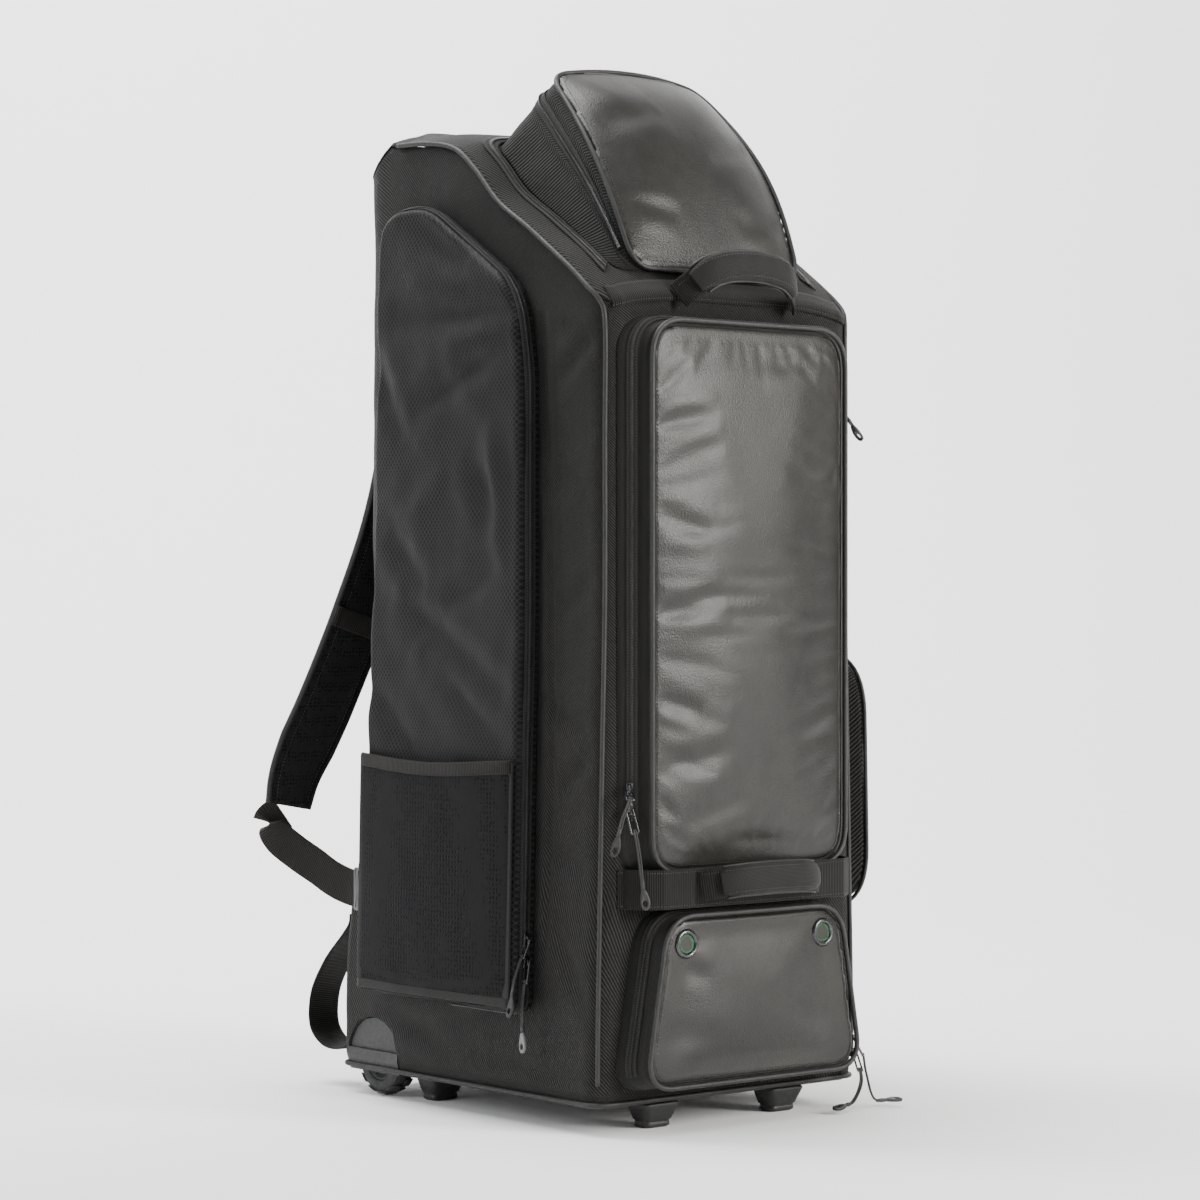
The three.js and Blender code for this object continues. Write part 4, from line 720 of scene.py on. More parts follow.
def tape_finish():
    """Zip tape: fine herringbone, nearly black."""
    made, tree, shader = cloth_finish("zip_tape", (0.006, 0.006, 0.006), (0.02, 0.02, 0.02), 0.6, 0.04)
    u, v = map_of(tree)
    weave = lines(tree, maths(tree, "ADD", v, maths(tree, "MULTIPLY", u, 0.6)), 0.0014)
    tree.links.new(
        blend(tree, weave, (0.009, 0.0088, 0.0085), (0.034, 0.033, 0.0315)), shader.inputs["Base Color"],
    )
    bumped(tree, shader, weave, 0.0003, 0.7)
    return made


def smooth_finish(name, dark, light, rough_low, rough_high, metal=0.0, grain=300.0, depth=0.0002):
    """Moulded, coated or metal surface with slight variation, fine grain and uneven gloss."""
    made, tree, shader = material_of(name)
    shader.inputs["Metallic"].default_value = metal
    where = place_of(tree)
    wide = cloud_of(tree, where, 20.0, 4.0)
    fine = cloud_of(tree, where, grain, 3.0)
    tree.links.new(blend(tree, ramp(tree, wide, 0.3, 0.7), dark, light), shader.inputs["Base Color"])
    tree.links.new(ramp(tree, fine, 0.3, 0.7, rough_low, rough_high), shader.inputs["Roughness"])
    bumped(tree, shader, fine, depth, 0.6)
    made.diffuse_color = (*light, 1)
    return made


finish_twill = twill_cloth()
finish_cloth = plain_cloth()
finish_ripstop = ripstop_cloth()
finish_leather = leather_finish()
finish_webbing = webbing_finish()
finish_spacer = spacer_finish()
finish_pocket_mesh = spacer_finish("pocket_mesh", 230.0, (0.001, 0.001, 0.001), (0.0095, 0.0094, 0.0102))
finish_green_mesh = spacer_finish("green_mesh", 520.0, (0.004, 0.012, 0.006), (0.05, 0.13, 0.065))
finish_tape = tape_finish()
finish_piping = smooth_finish("coated_piping", (0.004, 0.004, 0.0038), (0.010, 0.0096, 0.009), 0.5, 0.65)
finish_thread = smooth_finish("sewing_thread", (0.018, 0.0175, 0.0165), (0.042, 0.040, 0.037), 0.5, 0.65)
finish_teeth = smooth_finish("coil_nylon", (0.010, 0.010, 0.010), (0.028, 0.028, 0.028), 0.3, 0.42)
finish_metal = smooth_finish("dark_nickel", (0.045, 0.045, 0.048), (0.09, 0.09, 0.094), 0.2, 0.34, metal=1.0)
finish_plastic = smooth_finish("moulded_plastic", (0.007, 0.007, 0.0075), (0.016, 0.016, 0.0165), 0.42, 0.6)
finish_buckle = smooth_finish("grey_plastic", (0.05, 0.05, 0.052), (0.09, 0.09, 0.092), 0.4, 0.55)
finish_hook = smooth_finish("pale_plastic", (0.10, 0.10, 0.10), (0.15, 0.15, 0.15), 0.3, 0.4)
finish_rubber = smooth_finish("tread_rubber", (0.008, 0.008, 0.008), (0.018, 0.018, 0.018), 0.55, 0.75)
finish_cord = smooth_finish(
    "pull_cord", (0.010, 0.010, 0.010), (0.024, 0.024, 0.024), 0.6, 0.75, grain=900.0, depth=0.0004,
)


# Geometry Nodes along paths

def shape_tree(name, kind):
    """Tree that sets small shapes along a path: kind is stitch or tooth."""
    tree = bpy.data.node_groups.new(name, "GeometryNodeTree")
    face = tree.interface
    face.new_socket(name="Path", in_out="INPUT", socket_type="NodeSocketGeometry")
    sizes = {}
    for label, value in (
        ("Spacing", 0.003), ("Length", 0.002), ("Width", 0.0005), ("Height", 0.0004), ("Turn", 0.0),
        ("Lift", 0.0),
    ):
        socket = face.new_socket(name=label, in_out="INPUT", socket_type="NodeSocketFloat")
        socket.default_value = value
        sizes[label] = socket.identifier
    sizes["Finish"] = face.new_socket(
        name="Finish", in_out="INPUT", socket_type="NodeSocketMaterial",
    ).identifier
    face.new_socket(name="Pieces", in_out="OUTPUT", socket_type="NodeSocketGeometry")
    ins = tree.nodes.new("NodeGroupInput")
    outs = tree.nodes.new("NodeGroupOutput")

    def add(node_kind, **settings):
        made = tree.nodes.new(node_kind)
        for key, value in settings.items():
            setattr(made, key, value)
        return made

    link = tree.links.new
    up = add("GeometryNodeInputNamedAttribute", data_type="FLOAT_VECTOR")
    up.inputs["Name"].default_value = "up"
    curve = add("GeometryNodeMeshToCurve")
    link(ins.outputs["Path"], curve.inputs["Mesh"])
    even = add("GeometryNodeResampleCurve", mode="LENGTH")
    link(curve.outputs[0], even.inputs["Curve"])
    link(ins.outputs["Spacing"], even.inputs["Length"])
    if kind == "stitch":
        shape = add("GeometryNodeMeshIcoSphere")
        shape.inputs["Radius"].default_value = 0.5
        shape.inputs["Subdivisions"].default_value = 1
    else:
        shape = add("GeometryNodeMeshCylinder", fill_type="TRIANGLE_FAN")
        shape.inputs["Vertices"].default_value = 6
        shape.inputs["Radius"].default_value = 0.5
        shape.inputs["Depth"].default_value = 1.0
    size = add("ShaderNodeCombineXYZ")
    link(ins.outputs["Length"], size.inputs[0])
    link(ins.outputs["Width"], size.inputs[1])
    link(ins.outputs["Height"], size.inputs[2])
    tangent = add("GeometryNodeInputTangent")
    first = add("FunctionNodeAlignRotationToVector", axis="X")
    link(tangent.outputs[0], first.inputs["Vector"])
    second = add("FunctionNodeAlignRotationToVector", axis="Z", pivot_axis="X")
    link(first.outputs[0], second.inputs["Rotation"])
    link(up.outputs[0], second.inputs["Vector"])
    turn = add("FunctionNodeAxisAngleToRotation")
    turn.inputs["Axis"].default_value = (0, 0, 1)
    link(ins.outputs["Turn"], turn.inputs["Angle"])
    both = add("FunctionNodeRotateRotation", rotation_space="LOCAL")
    link(second.outputs[0], both.inputs["Rotation"])
    link(turn.outputs[0], both.inputs["Rotate By"])
    lift = add("ShaderNodeVectorMath", operation="SCALE")
    link(up.outputs[0], lift.inputs[0])
    link(ins.outputs["Lift"], lift.inputs["Scale"])
    raised = add("GeometryNodeSetPosition")
    link(even.outputs[0], raised.inputs["Geometry"])
    link(lift.outputs[0], raised.inputs["Offset"])
    put = add("GeometryNodeInstanceOnPoints")
    link(raised.outputs[0], put.inputs["Points"])
    link(shape.outputs[0], put.inputs["Instance"])
    link(both.outputs[0], put.inputs["Rotation"])
    link(size.outputs[0], put.inputs["Scale"])
    real = add("GeometryNodeRealizeInstances")
    link(put.outputs[0], real.inputs[0])
    soft = add("GeometryNodeSetShadeSmooth")
    link(real.outputs[0], soft.inputs[0])
    paint = add("GeometryNodeSetMaterial")
    link(soft.outputs[0], paint.inputs["Geometry"])
    link(ins.outputs["Finish"], paint.inputs["Material"])
    link(paint.outputs[0], outs.inputs[0])
    return tree, sizes


stitch_tree = shape_tree("stitch_rows", "stitch")
tooth_tree = shape_tree("coil_teeth", "tooth")


def along_paths(name, paths, tree, material, **sizes):
    """Plain mesh of small shapes along paths of (points, ups), with sizes in millimetres."""
    group, sockets = tree
    points, edges, ups = [], [], []
    for path, up in paths:
        path = np.asarray(path, float)
        up = np.broadcast_to(np.asarray(up, float), path.shape)
        base = len(points)
        points += path.tolist()
        ups += (up / np.linalg.norm(up, axis=1)[:, None]).tolist()
        edges += [(base + i, base + i + 1) for i in range(len(path) - 1)]
    placed_points = np.array(points)
    placed_points[:, 1] += FRAME_Y
    carrier_mesh = bpy.data.meshes.new(name + "_path")
    carrier_mesh.from_pydata((placed_points * MM).tolist(), edges, [])
    attribute = carrier_mesh.attributes.new("up", "FLOAT_VECTOR", "POINT")
    attribute.data.foreach_set("vector", np.array(ups, np.float32).ravel())
    carrier = bpy.data.objects.new(name + "_path", carrier_mesh)
    bpy.context.scene.collection.objects.link(carrier)
    modifier = carrier.modifiers.new("rows", "NODES")
    modifier.node_group = group
    for label, value in sizes.items():
        key = label.capitalize()
        modifier[sockets[key]] = float(value if key == "Turn" else value * MM)
    modifier[sockets["Finish"]] = material
    carrier.update_tag()
    graph = bpy.context.evaluated_depsgraph_get()
    mesh = bpy.data.meshes.new_from_object(carrier.evaluated_get(graph), depsgraph=graph)
    mesh.name = name
    bpy.data.objects.remove(carrier)
    made = bpy.data.objects.new(name, mesh)
    bpy.context.scene.collection.objects.link(made)
    if not mesh.materials:
        mesh.materials.append(material)
    return made


def stitched(name, paths, spacing=3.4, long=2.5, thick=0.75):
    return along_paths(
        name, paths, stitch_tree, finish_thread, spacing=spacing, length=long, width=thick,
        height=thick * 0.8,
    )


def zip_teeth(name, paths, pitch=1.5, reach=4.6, tall=1.5):
    return along_paths(
        name, paths, tooth_tree, finish_teeth,
        spacing=pitch, length=pitch * 0.72, width=reach, height=tall, turn=0.16,
    )


# Body

def outline_shares():
    """How each point of the body's outline depends on (wide, front, back, front round, back round)."""
    rows = []

    def run(count, at):
        for s in np.linspace(0, 1, count, endpoint=False):
            rows.append(at(s))

    quarter = math.pi / 2
    run(40, lambda s: ((s, 0, 0, -s, 0), (0, 1, 0, 0, 0)))
    run(
        9,
        lambda s: (
            (1, 0, 0, math.cos(quarter * (s - 1)) - 1, 0), (0, 1, 0, 1 + math.sin(quarter * (s - 1)), 0),
        ),
    )
    run(90, lambda s: ((1, 0, 0, 0, 0), (0, 1 - s, s, 1 - s, -s)))
    run(12, lambda s: ((1, 0, 0, 0, math.cos(quarter * s) - 1), (0, 0, 1, 0, math.sin(quarter * s) - 1)))
    run(70, lambda s: ((1 - 2 * s, 0, 0, 0, 2 * s - 1), (0, 0, 1, 0, 0)))
    run(12, lambda s: ((-1, 0, 0, 0, 1 - math.sin(quarter * s)), (0, 0, 1, 0, math.cos(quarter * s) - 1)))
    run(90, lambda s: ((-1, 0, 0, 0, 0), (0, s, 1 - s, s, s - 1)))
    run(9, lambda s: ((-1, 0, 0, 1 - math.cos(quarter * s), 0), (0, 1, 0, 1 - math.sin(quarter * s), 0)))
    run(40, lambda s: ((s - 1, 0, 0, 1 - s, 0), (0, 1, 0, 0, 0)))
    return np.array(rows, float)


SHARES = outline_shares()


def body_ring(z, inset=0.0):
    z = np.broadcast_to(np.asarray(z, float), (len(SHARES),))
    s = body_at(z)
    sizes = np.stack([
        s[:, 0] * HALF_WIDTH - inset,
        s[:, 1] * BODY_DEPTH + inset,
        s[:, 2] * BODY_DEPTH - inset,
        np.maximum(2, s[:, 3] * BODY_WIDTH - inset),
        np.maximum(2, s[:, 4] * BODY_WIDTH - inset),
    ], axis=1)
    plan = (SHARES * sizes[:, None, :]).sum(axis=2)
    return np.column_stack([plan, z])


def make_body():
    top = body_ring(height_at(0.7))
    rim = rim_z(top[:, 0], top[:, 1])
    rings = [body_ring(FLOOR_GAP, 8)]
    rings += [body_ring(FLOOR_GAP + t * (rim - FLOOR_GAP)) for t in np.linspace(0, 1, 150)]
    body = skin("body_cloth", rings)
    points = coords(body)
    side = np.abs(points[:, 0]) / HALF_WIDTH > 0.93
    uv = points[:, 1:]
    sag = cloud(points, 120.0, 1) * 1.6 + cloud(points, 45.0, 2) * 1.0 + cloud(points, 20.0, 3) * 0.35 - 1.0
    folds = creased(uv, (
        ((173, 58), (-32, 101), 9, 2.4), ((40, 60), (150, 88), 10, 1.8), ((-150, 46), (0, 60), 7, 1.4),
        ((-91, 745), (-103, 515), 4.5, 2.2), ((-103, 525), (-109, 314), 4.5, 2.2),
        ((-109, 324), (-103, 150), 4.5, 2.2),
        ((-124, 738), (-166, 710), 9, 2.4), ((-113, 684), (-166, 722), 9, 2.2),
        ((-112, 600), (-166, 575), 9, 1.6),
        ((-112, 470), (-166, 500), 9, 1.8), ((-100, 391), (-166, 357), 10, 2.6),
        ((-118, 310), (-166, 342), 9, 2.4),
        ((-109, 255), (-166, 238), 9, 2.2), ((-118, 182), (-166, 110), 10, 2.6),
        ((90, 150), (165, 120), 8, 1.5),
        ((120, 300), (160, 250), 9, 1.6), ((118, 640), (160, 600), 10, 1.4),
    ))
    calm = np.clip((points[:, 1] - BODY_FRONT - 10) / 14, 0, 1)
    set_coords(body, points + normals(body) * ((np.minimum(sag, 0.4) + folds * side) * calm)[:, None])
    for hand in (-1, 1):
        cut_for_wheel(body, hand)
    dressed(body, finish_twill, "nylon_twill", "body_shell")


WHEEL_X = float(side_x(FLOOR_GAP + WHEEL_RADIUS)) - 7.5 - WHEEL_WIDTH / 2


def wheel_space(hand, more, reach_out=40.0, low=-10.0):
    """Round-topped space over a wheel."""
    radius = WHEEL_RADIUS + more
    angle = np.linspace(0, math.pi, 25)
    arc = np.stack([WHEEL_Y + radius * np.cos(angle), WHEEL_RADIUS + radius * np.sin(angle)], axis=1)
    arc = np.vstack([[[WHEEL_Y + radius, low]], arc, [[WHEEL_Y - radius, low]]])
    xs = (hand * (WHEEL_X - WHEEL_WIDTH / 2 - more), hand * (WHEEL_X + WHEEL_WIDTH / 2 + more + reach_out))
    rings = [np.column_stack([np.full(len(arc), x), arc]) for x in xs]
    return skin("wheel_space", rings)


def cut_for_wheel(obj, hand, more=5.0):
    cutter = wheel_space(hand, more)
    with_modifier(obj, "BOOLEAN", operation="DIFFERENCE", object=cutter, solver="EXACT")
    bpy.data.objects.remove(cutter)


def make_lid():
    top = body_ring(height_at(0.7))
    middle = np.array([0.0, float(top[:, 1].mean())])
    upper, lower = [], []
    for k in np.concatenate([[1.0], np.linspace(0.985, 0.04, 40)]):
        plan = middle + (top[:, :2] - middle) * k
        z = lid_z(plan[:, 0], plan[:, 1])
        drop = 1.6 if k == 1.0 else 0.0
        upper.append(np.column_stack([plan, z - drop]))
        lower.append(np.column_stack([plan, z - FABRIC]))
    lid = skin("lid_cloth", lower[::-1] + upper)
    flat_map(lid, 0, 1)
    pushed(lid, lambda p, n: cloud(p, 40.0, 5) * 0.9 * (np.abs(p[:, 0]) < HALF_WIDTH * 0.97))
    dressed(lid, finish_twill, "nylon_twill", "top_lid")


def flat_map(obj, u, v):
    """UVs in metres straight from two coordinates."""
    points = coords(obj) * MM
    loops = np.empty(len(obj.data.loops), np.int32)
    obj.data.loops.foreach_get("vertex_index", loops)
    layer = obj.data.uv_layers.get("UVMap") or obj.data.uv_layers.new(name="UVMap")
    layer.data.foreach_set("uv", points[loops][:, [u, v]].astype(np.float32).ravel())


def make_edge_piping():
    radius = CORNER_ROUND
    away = PIPING - 0.5
    diagonal = math.pi / 4

    def corner(angle, z):
        wide = float(side_x(z)) - radius
        reach = radius + away
        return wide + reach * math.cos(angle), float(front_y(z)) + radius - reach * math.sin(angle)

    for side, hand in (("left", -1), ("right", 1)):
        path = []
        for up in (0.02, 0.06, 0.1, 0.16, 0.21, 0.27, 0.36, 0.5, 0.65):
            x, y = corner(diagonal, height_at(up))
            path.append((hand * x, y, height_at(up)))
        over = float(rim_z(HALF_WIDTH, BODY_FRONT))
        for angle, drop in ((diagonal, 16), (diagonal * 0.9, 4), (diagonal * 0.55, -1), (0.05, -1)):
            x, y = corner(angle, over)
            path.append((hand * x, y, float(rim_z(HALF_WIDTH, y)) + 1.5 - drop))
        for along in (0.109, 0.292, 0.421, 0.521, 0.607, 0.719, 0.858):
            y = depth_at(along)
            z = float(rim_z(HALF_WIDTH, y))
            path.append((hand * (float(side_x(z)) + away), y, z + 1.5))
        line = flowing(path, 220)
        across = np.column_stack([np.full(220, 1e-4), np.gradient(line[:, 2]), -np.gradient(line[:, 1])])
        piping = swept("edge_piping_tube_" + side, line, across, circle(PIPING, 9))
        dressed(piping, finish_piping, "piping", "edge_piping_" + side)
    foot = body_ring(FLOOR_GAP)[:, :2]
    ring = grown(foot, away)
    tube = ring_tube("bottom_piping_tube", np.column_stack([ring, np.full(len(ring), FLOOR_GAP + 1)]), PIPING)
    dressed(tube, finish_piping, "piping", "bottom_piping")


# Pockets with a gusset: front, shoe and helmet

def pocket_outline(spec, count=320):
    low, high = spec["bottom"], spec["bottom"] + spec["height"]
    b, t, r = spec["bottom_width"] / 2, spec["top_width"] / 2, spec["corner"]
    return rounded([(-b, low, r), (b, low, r), (t, high, r), (-t, high, r)], count)


def pocket_middle(spec):
    return np.array([0.0, spec["bottom"] + spec["height"] / 2])


def pocket_face(spec, p, k, rise=0.0):
    y = front_y(p[:, 1]) - spec["depth"] - rise - spec["crown"] * (1 - k * k)
    return np.column_stack([p[:, 0], y, p[:, 1]])


def gusset_points(spec):
    points = pocket_outline(spec)
    foot = stretched(points, pocket_middle(spec), spec["extra"], SPREAD_UP)
    low = np.column_stack([foot[:, 0], front_y(foot[:, 1]) - SEAT, foot[:, 1]])
    high = np.column_stack(
        [points[:, 0], front_y(points[:, 1]) - spec["depth"] + FABRIC + SEAT, points[:, 1]]
    )
    n = turned_out(points)
    return low, high, np.column_stack([n[:, 0], np.zeros(len(n)), n[:, 1]])


def gusset_wall(name, low, high, out, relief, inset=FABRIC, rows=22):
    """Wall between two outlines with relief(t) outwards, and its inner face."""
    t = np.linspace(0, 1, rows)
    outer = [low + (high - low) * s + out * relief(s) for s in t]
    inner = [low + (high - low) * s - out * inset for s in t[::-1]]
    return skin(name, outer + inner, joined=True)


def tape_on(name, low, high, out, spans, start, stop, lift=0.6, thick=0.9):
    """Zip tape with its coil and sewn edges on a gusset, over part of its outline."""
    count = len(low)
    stops = np.arange(start, stop) % count
    a, b = spans
    across = np.linspace(a, b, 9)

    def at(s, away):
        return low[stops] + (high[stops] - low[stops]) * s + out[stops] * away

    mid = (a + b) / 2
    bulge = lambda s: 0.5 * math.exp(-(((s - mid) / (b - a) * 4.2) ** 2))
    outer = np.stack([at(s, lift + thick + bulge(s)) for s in across], axis=1)
    inner = np.stack([at(s, lift - 0.4) for s in across], axis=1)
    tape = slab(name + "_tape", outer, inner)
    painted(tape, finish_tape)
    face = out[stops]
    teeth = zip_teeth(name + "_teeth", [(at(mid, lift + thick + 0.55), face)])
    inset = (b - a) * 0.12
    rows = [(at(s, lift + thick + 0.1), face) for s in (a + inset, b - inset)]
    seams = stitched(name + "_seams", rows, 2.9, 2.1, 0.6)
    return joined_as(name, [tape, teeth, seams])


def panel_form(name, points, middle, face, inward, levels=16):
    """Closed crowned form: outer face from its edge to the middle, and its back."""
    ks = 1 - np.linspace(0, 0.97, levels) ** 1.25
    outer = []
    for k in ks:
        outer.append(face(middle + (points - middle) * k, k))
    outer.insert(0, face(points, 1.0) + inward * 0.35)
    inner = [face(middle + (points - middle) * k, 1.0) + inward for k in (0.05, 0.35, 0.7, 0.985)]
    return skin(name, inner + outer)


def make_pocket(prefix, spec, tape_start, tape_stop, creases, seed):
    low, high, out = gusset_points(spec)

    def ridges(t):
        return 0.9 * math.exp(-(((t - 0.16) / 0.05) ** 2)) + 1.1 * math.exp(-(((t - 0.86) / 0.06) ** 2))

    wall = gusset_wall(prefix + "_gusset_cloth", low, high, out, ridges)
    pushed(wall, lambda p, n: cloud(p, 26.0, seed) * 0.7)
    dressed(wall, finish_cloth, "nylon_twill", prefix + "_gusset")
    band = tape_on(prefix + "_zip_line", low, high, out, (0.3, 0.62), tape_start, tape_stop)
    placed(band, "zip_tape", stands_for=[prefix + "_zip"])
    points = pocket_outline(spec)
    inward = np.array([0, FABRIC + 1.5, 0])
    face = lambda p, k: pocket_face(spec, p, k, -1.5)
    form = panel_form(prefix + "_leather", points, pocket_middle(spec), face, inward)
    back = lambda p: p[:, 1] > front_y(p[:, 2]) - spec["depth"] + 0.6
    stuffed(form, 4.0, back, pressure=3.0, reach=4.0, shrink=spec["slack"])

    def wear(p, n):
        facing = n[:, 1] < -0.2
        uv = p[:, [0, 2]]
        field = cloud(p, 90.0, seed + 3) * 1.4 + cloud(p, 30.0, seed + 4) * 0.15
        field = field + creased(uv, creases)
        edge = np.abs(uv - pocket_middle(spec)) / np.array([spec["bottom_width"] / 2, spec["height"] / 2])
        calm = 1 - np.clip((edge.max(axis=1) - 0.9) / 0.1, 0, 1)
        return field * facing * calm

    pushed(form, wear)
    painted(form, finish_leather)
    placed(form, "leather_look", stands_for=[prefix + "_panel"])
    n = turned_out(points)
    reach = PIPING + SEAT - 0.4
    ring = np.column_stack(
        [
            points[:, 0] + n[:, 0] * reach, front_y(points[:, 1]) - spec["depth"] - 0.2,
            points[:, 1] + n[:, 1] * reach,
        ]
    )
    tube = ring_tube(prefix + "_piping_tube", ring, PIPING, lift=(0, -1, 0))
    dressed(tube, finish_piping, "piping", prefix + "_piping")
    inset = grown(points, -5.5)
    k = 1 - 5.5 / (spec["height"] / 2)
    seam = pocket_face(spec, inset, k, -0.4)
    seam[:, 1] = front_y(inset[:, 1]) - spec["depth"] - spec["crown"] * (1 - k * k) - 0.2
    return form, np.vstack([seam, seam[:1]])


def surface_path(obj, path, direction, lift=0.25, far=60.0):
    """Drops a path onto a piece along a direction, and returns points and their normals."""
    tree = BVHTree.FromPolygons([v.co for v in obj.data.vertices], [p.vertices for p in obj.data.polygons])
    direction = Vector(direction).normalized()
    points, ups = [], []
    for p in np.asarray(path, float):
        place = Vector(((p[0]) * MM, (p[1] + FRAME_Y) * MM, p[2] * MM))
        hit, n, _, _ = tree.ray_cast(place - direction * far * MM, direction, far * 2 * MM)
        if hit is None:
            continue
        spot = hit + n * lift * MM
        points.append((spot.x / MM, spot.y / MM - FRAME_Y, spot.z / MM))
        ups.append(tuple(n))
    return np.array(points), np.array(ups)


def make_front_pocket():
    creases = [
        ((-112, 640), (-52, 652), 8, 1.6), ((-112, 560), (-62, 548), 9, 1.8),
        ((-114, 470), (-48, 486), 10, 2.0),
        ((-114, 396), (-70, 384), 8, 1.5), ((-112, 330), (-40, 344), 10, 1.8),
        ((112, 600), (66, 590), 9, 1.3),
        ((113, 360), (60, 350), 9, 1.5), ((-20, 262), (70, 256), 9, 1.4), ((-84, 280), (-20, 300), 11, 1.4),
        ((20, 700), (90, 708), 9, 1.2),
    ]
    form, seam = make_pocket("front", FRONT, 34, 286, creases, 11)
    rows = stitched("front_seams", [surface_path(form, seam, (0, 1, 0))], *LEATHER_SEAM)
    placed(rows, "leather_look")


def make_shoe_pocket():
    creases = [
        ((-110, 90), (-40, 84), 12, 0.9), ((30, 66), (110, 74), 12, 0.8), ((-92, 150), (-60, 140), 9, 0.9),
    ]
    form, seam = make_pocket("shoe", SHOE, 56, 264, creases, 21)
    rows = stitched("shoe_seams", [surface_path(form, seam, (0, 1, 0))], *LEATHER_SEAM)
    placed(rows, "leather_look")
    make_eyelets(form)


def make_eyelets(leather):
    outer, inner = EYELET["outer"] / 2, EYELET["inner"] / 2
    for side, hand in (("left", -1), ("right", 1)):
        path, ups = surface_path(
            leather, [(hand * EYELET["spacing"] / 2, -180, EYELET["height"])], (0, 1, 0), 0.0,
        )
        centre, up = path[0], ups[0] / np.linalg.norm(ups[0])
        across = np.cross((0, 0, 1), up)
        across /= np.linalg.norm(across)
        tall = np.cross(up, across)
        profile = [
            (inner, -2.0), (inner + 0.2, 0.6), (inner + 1.2, 1.7), ((inner + outer) / 2, 2.1),
            (outer - 1.2, 1.5), (outer, 0.3), (outer - 0.2, -0.6), (inner + 1.5, -1.0),
        ]
        angle = np.linspace(0, 2 * math.pi, 40, endpoint=False)
        spoke = np.cos(angle)[:, None] * across + np.sin(angle)[:, None] * tall
        rings = [centre + spoke * r + up * (h + 0.3) for r, h in profile]
        dressed(skin("eyelet_ring_" + side, rings, joined=True), finish_metal, "dark_metal", "eyelet_" + side)
        disc = [
            centre + spoke * (inner + 0.5) * k + up * (0.35 - 0.8 * (1 - k * k))
            for k in (1.0, 0.8, 0.6, 0.4, 0.2, 0.05)
        ]
        lower = [centre + spoke * (inner + 0.5) * k - up * 1.2 for k in (0.05, 1.0)]
        mesh = skin("eyelet_gauze_" + side, lower + disc)
        dressed(mesh, finish_green_mesh, "green_mesh", "eyelet_mesh_" + side)


HELMET_FOOT = (depth_at(0.068), depth_at(0.574))
HELMET_TOP = (depth_at(0.056), depth_at(0.421))
HELMET_NORMAL = np.array([0, -0.84, 0.55]) / np.linalg.norm([0, -0.84, 0.55])
HELMET_HOLD = 11.0
HELMET_CREASES = (
    ((-80, 930), (-20, 944), 10, 1.8),
    ((30, 900), (86, 916), 10, 1.6),
    ((-86, 850), (-40, 842), 9, 1.4),
    ((40, 836), (90, 842), 9, 1.2),
)
helmet_unit = rounded([(-1, -1, 0.22), (1, -1, 0.22), (1, 1, 0.2), (-1, 1, 0.2)], 280)


def helmet_foot(p, inset=0.0, rise=0.8):
    s = (p[:, 1] + 1) / 2
    x = p[:, 0] * (HELMET_WIDTH / 2 - inset)
    y = (HELMET_FOOT[0] + inset) * (1 - s) + (HELMET_FOOT[1] - inset) * s
    return np.column_stack([x, y, lid_z(x, y) + rise])


def helmet_top(p, k):
    s = (p[:, 1] + 1) / 2
    bow = np.sin(np.pi * s)
    wide = (HELMET_FRONT * (1 - s) + HELMET_BACK * s) / 2 + HELMET_WIDEN * bow
    y = HELMET_TOP[0] * (1 - s) + HELMET_TOP[1] * s
    low = float(lid_z(0, HELMET_TOP[0])) + SPREAD_UP
    high = height_at(1) + HELMET_RISE
    crown = HELMET_CROWN * (0.65 * (1 - p[:, 0] ** 2) * s + 0.8 * (1 - k * k))
    flat = np.column_stack([p[:, 0] * wide, y - crown * 0.5, low * (1 - s) + high * s + crown * 0.8])
    return flat + HELMET_NORMAL * (HELMET_BOW * bow)[:, None]


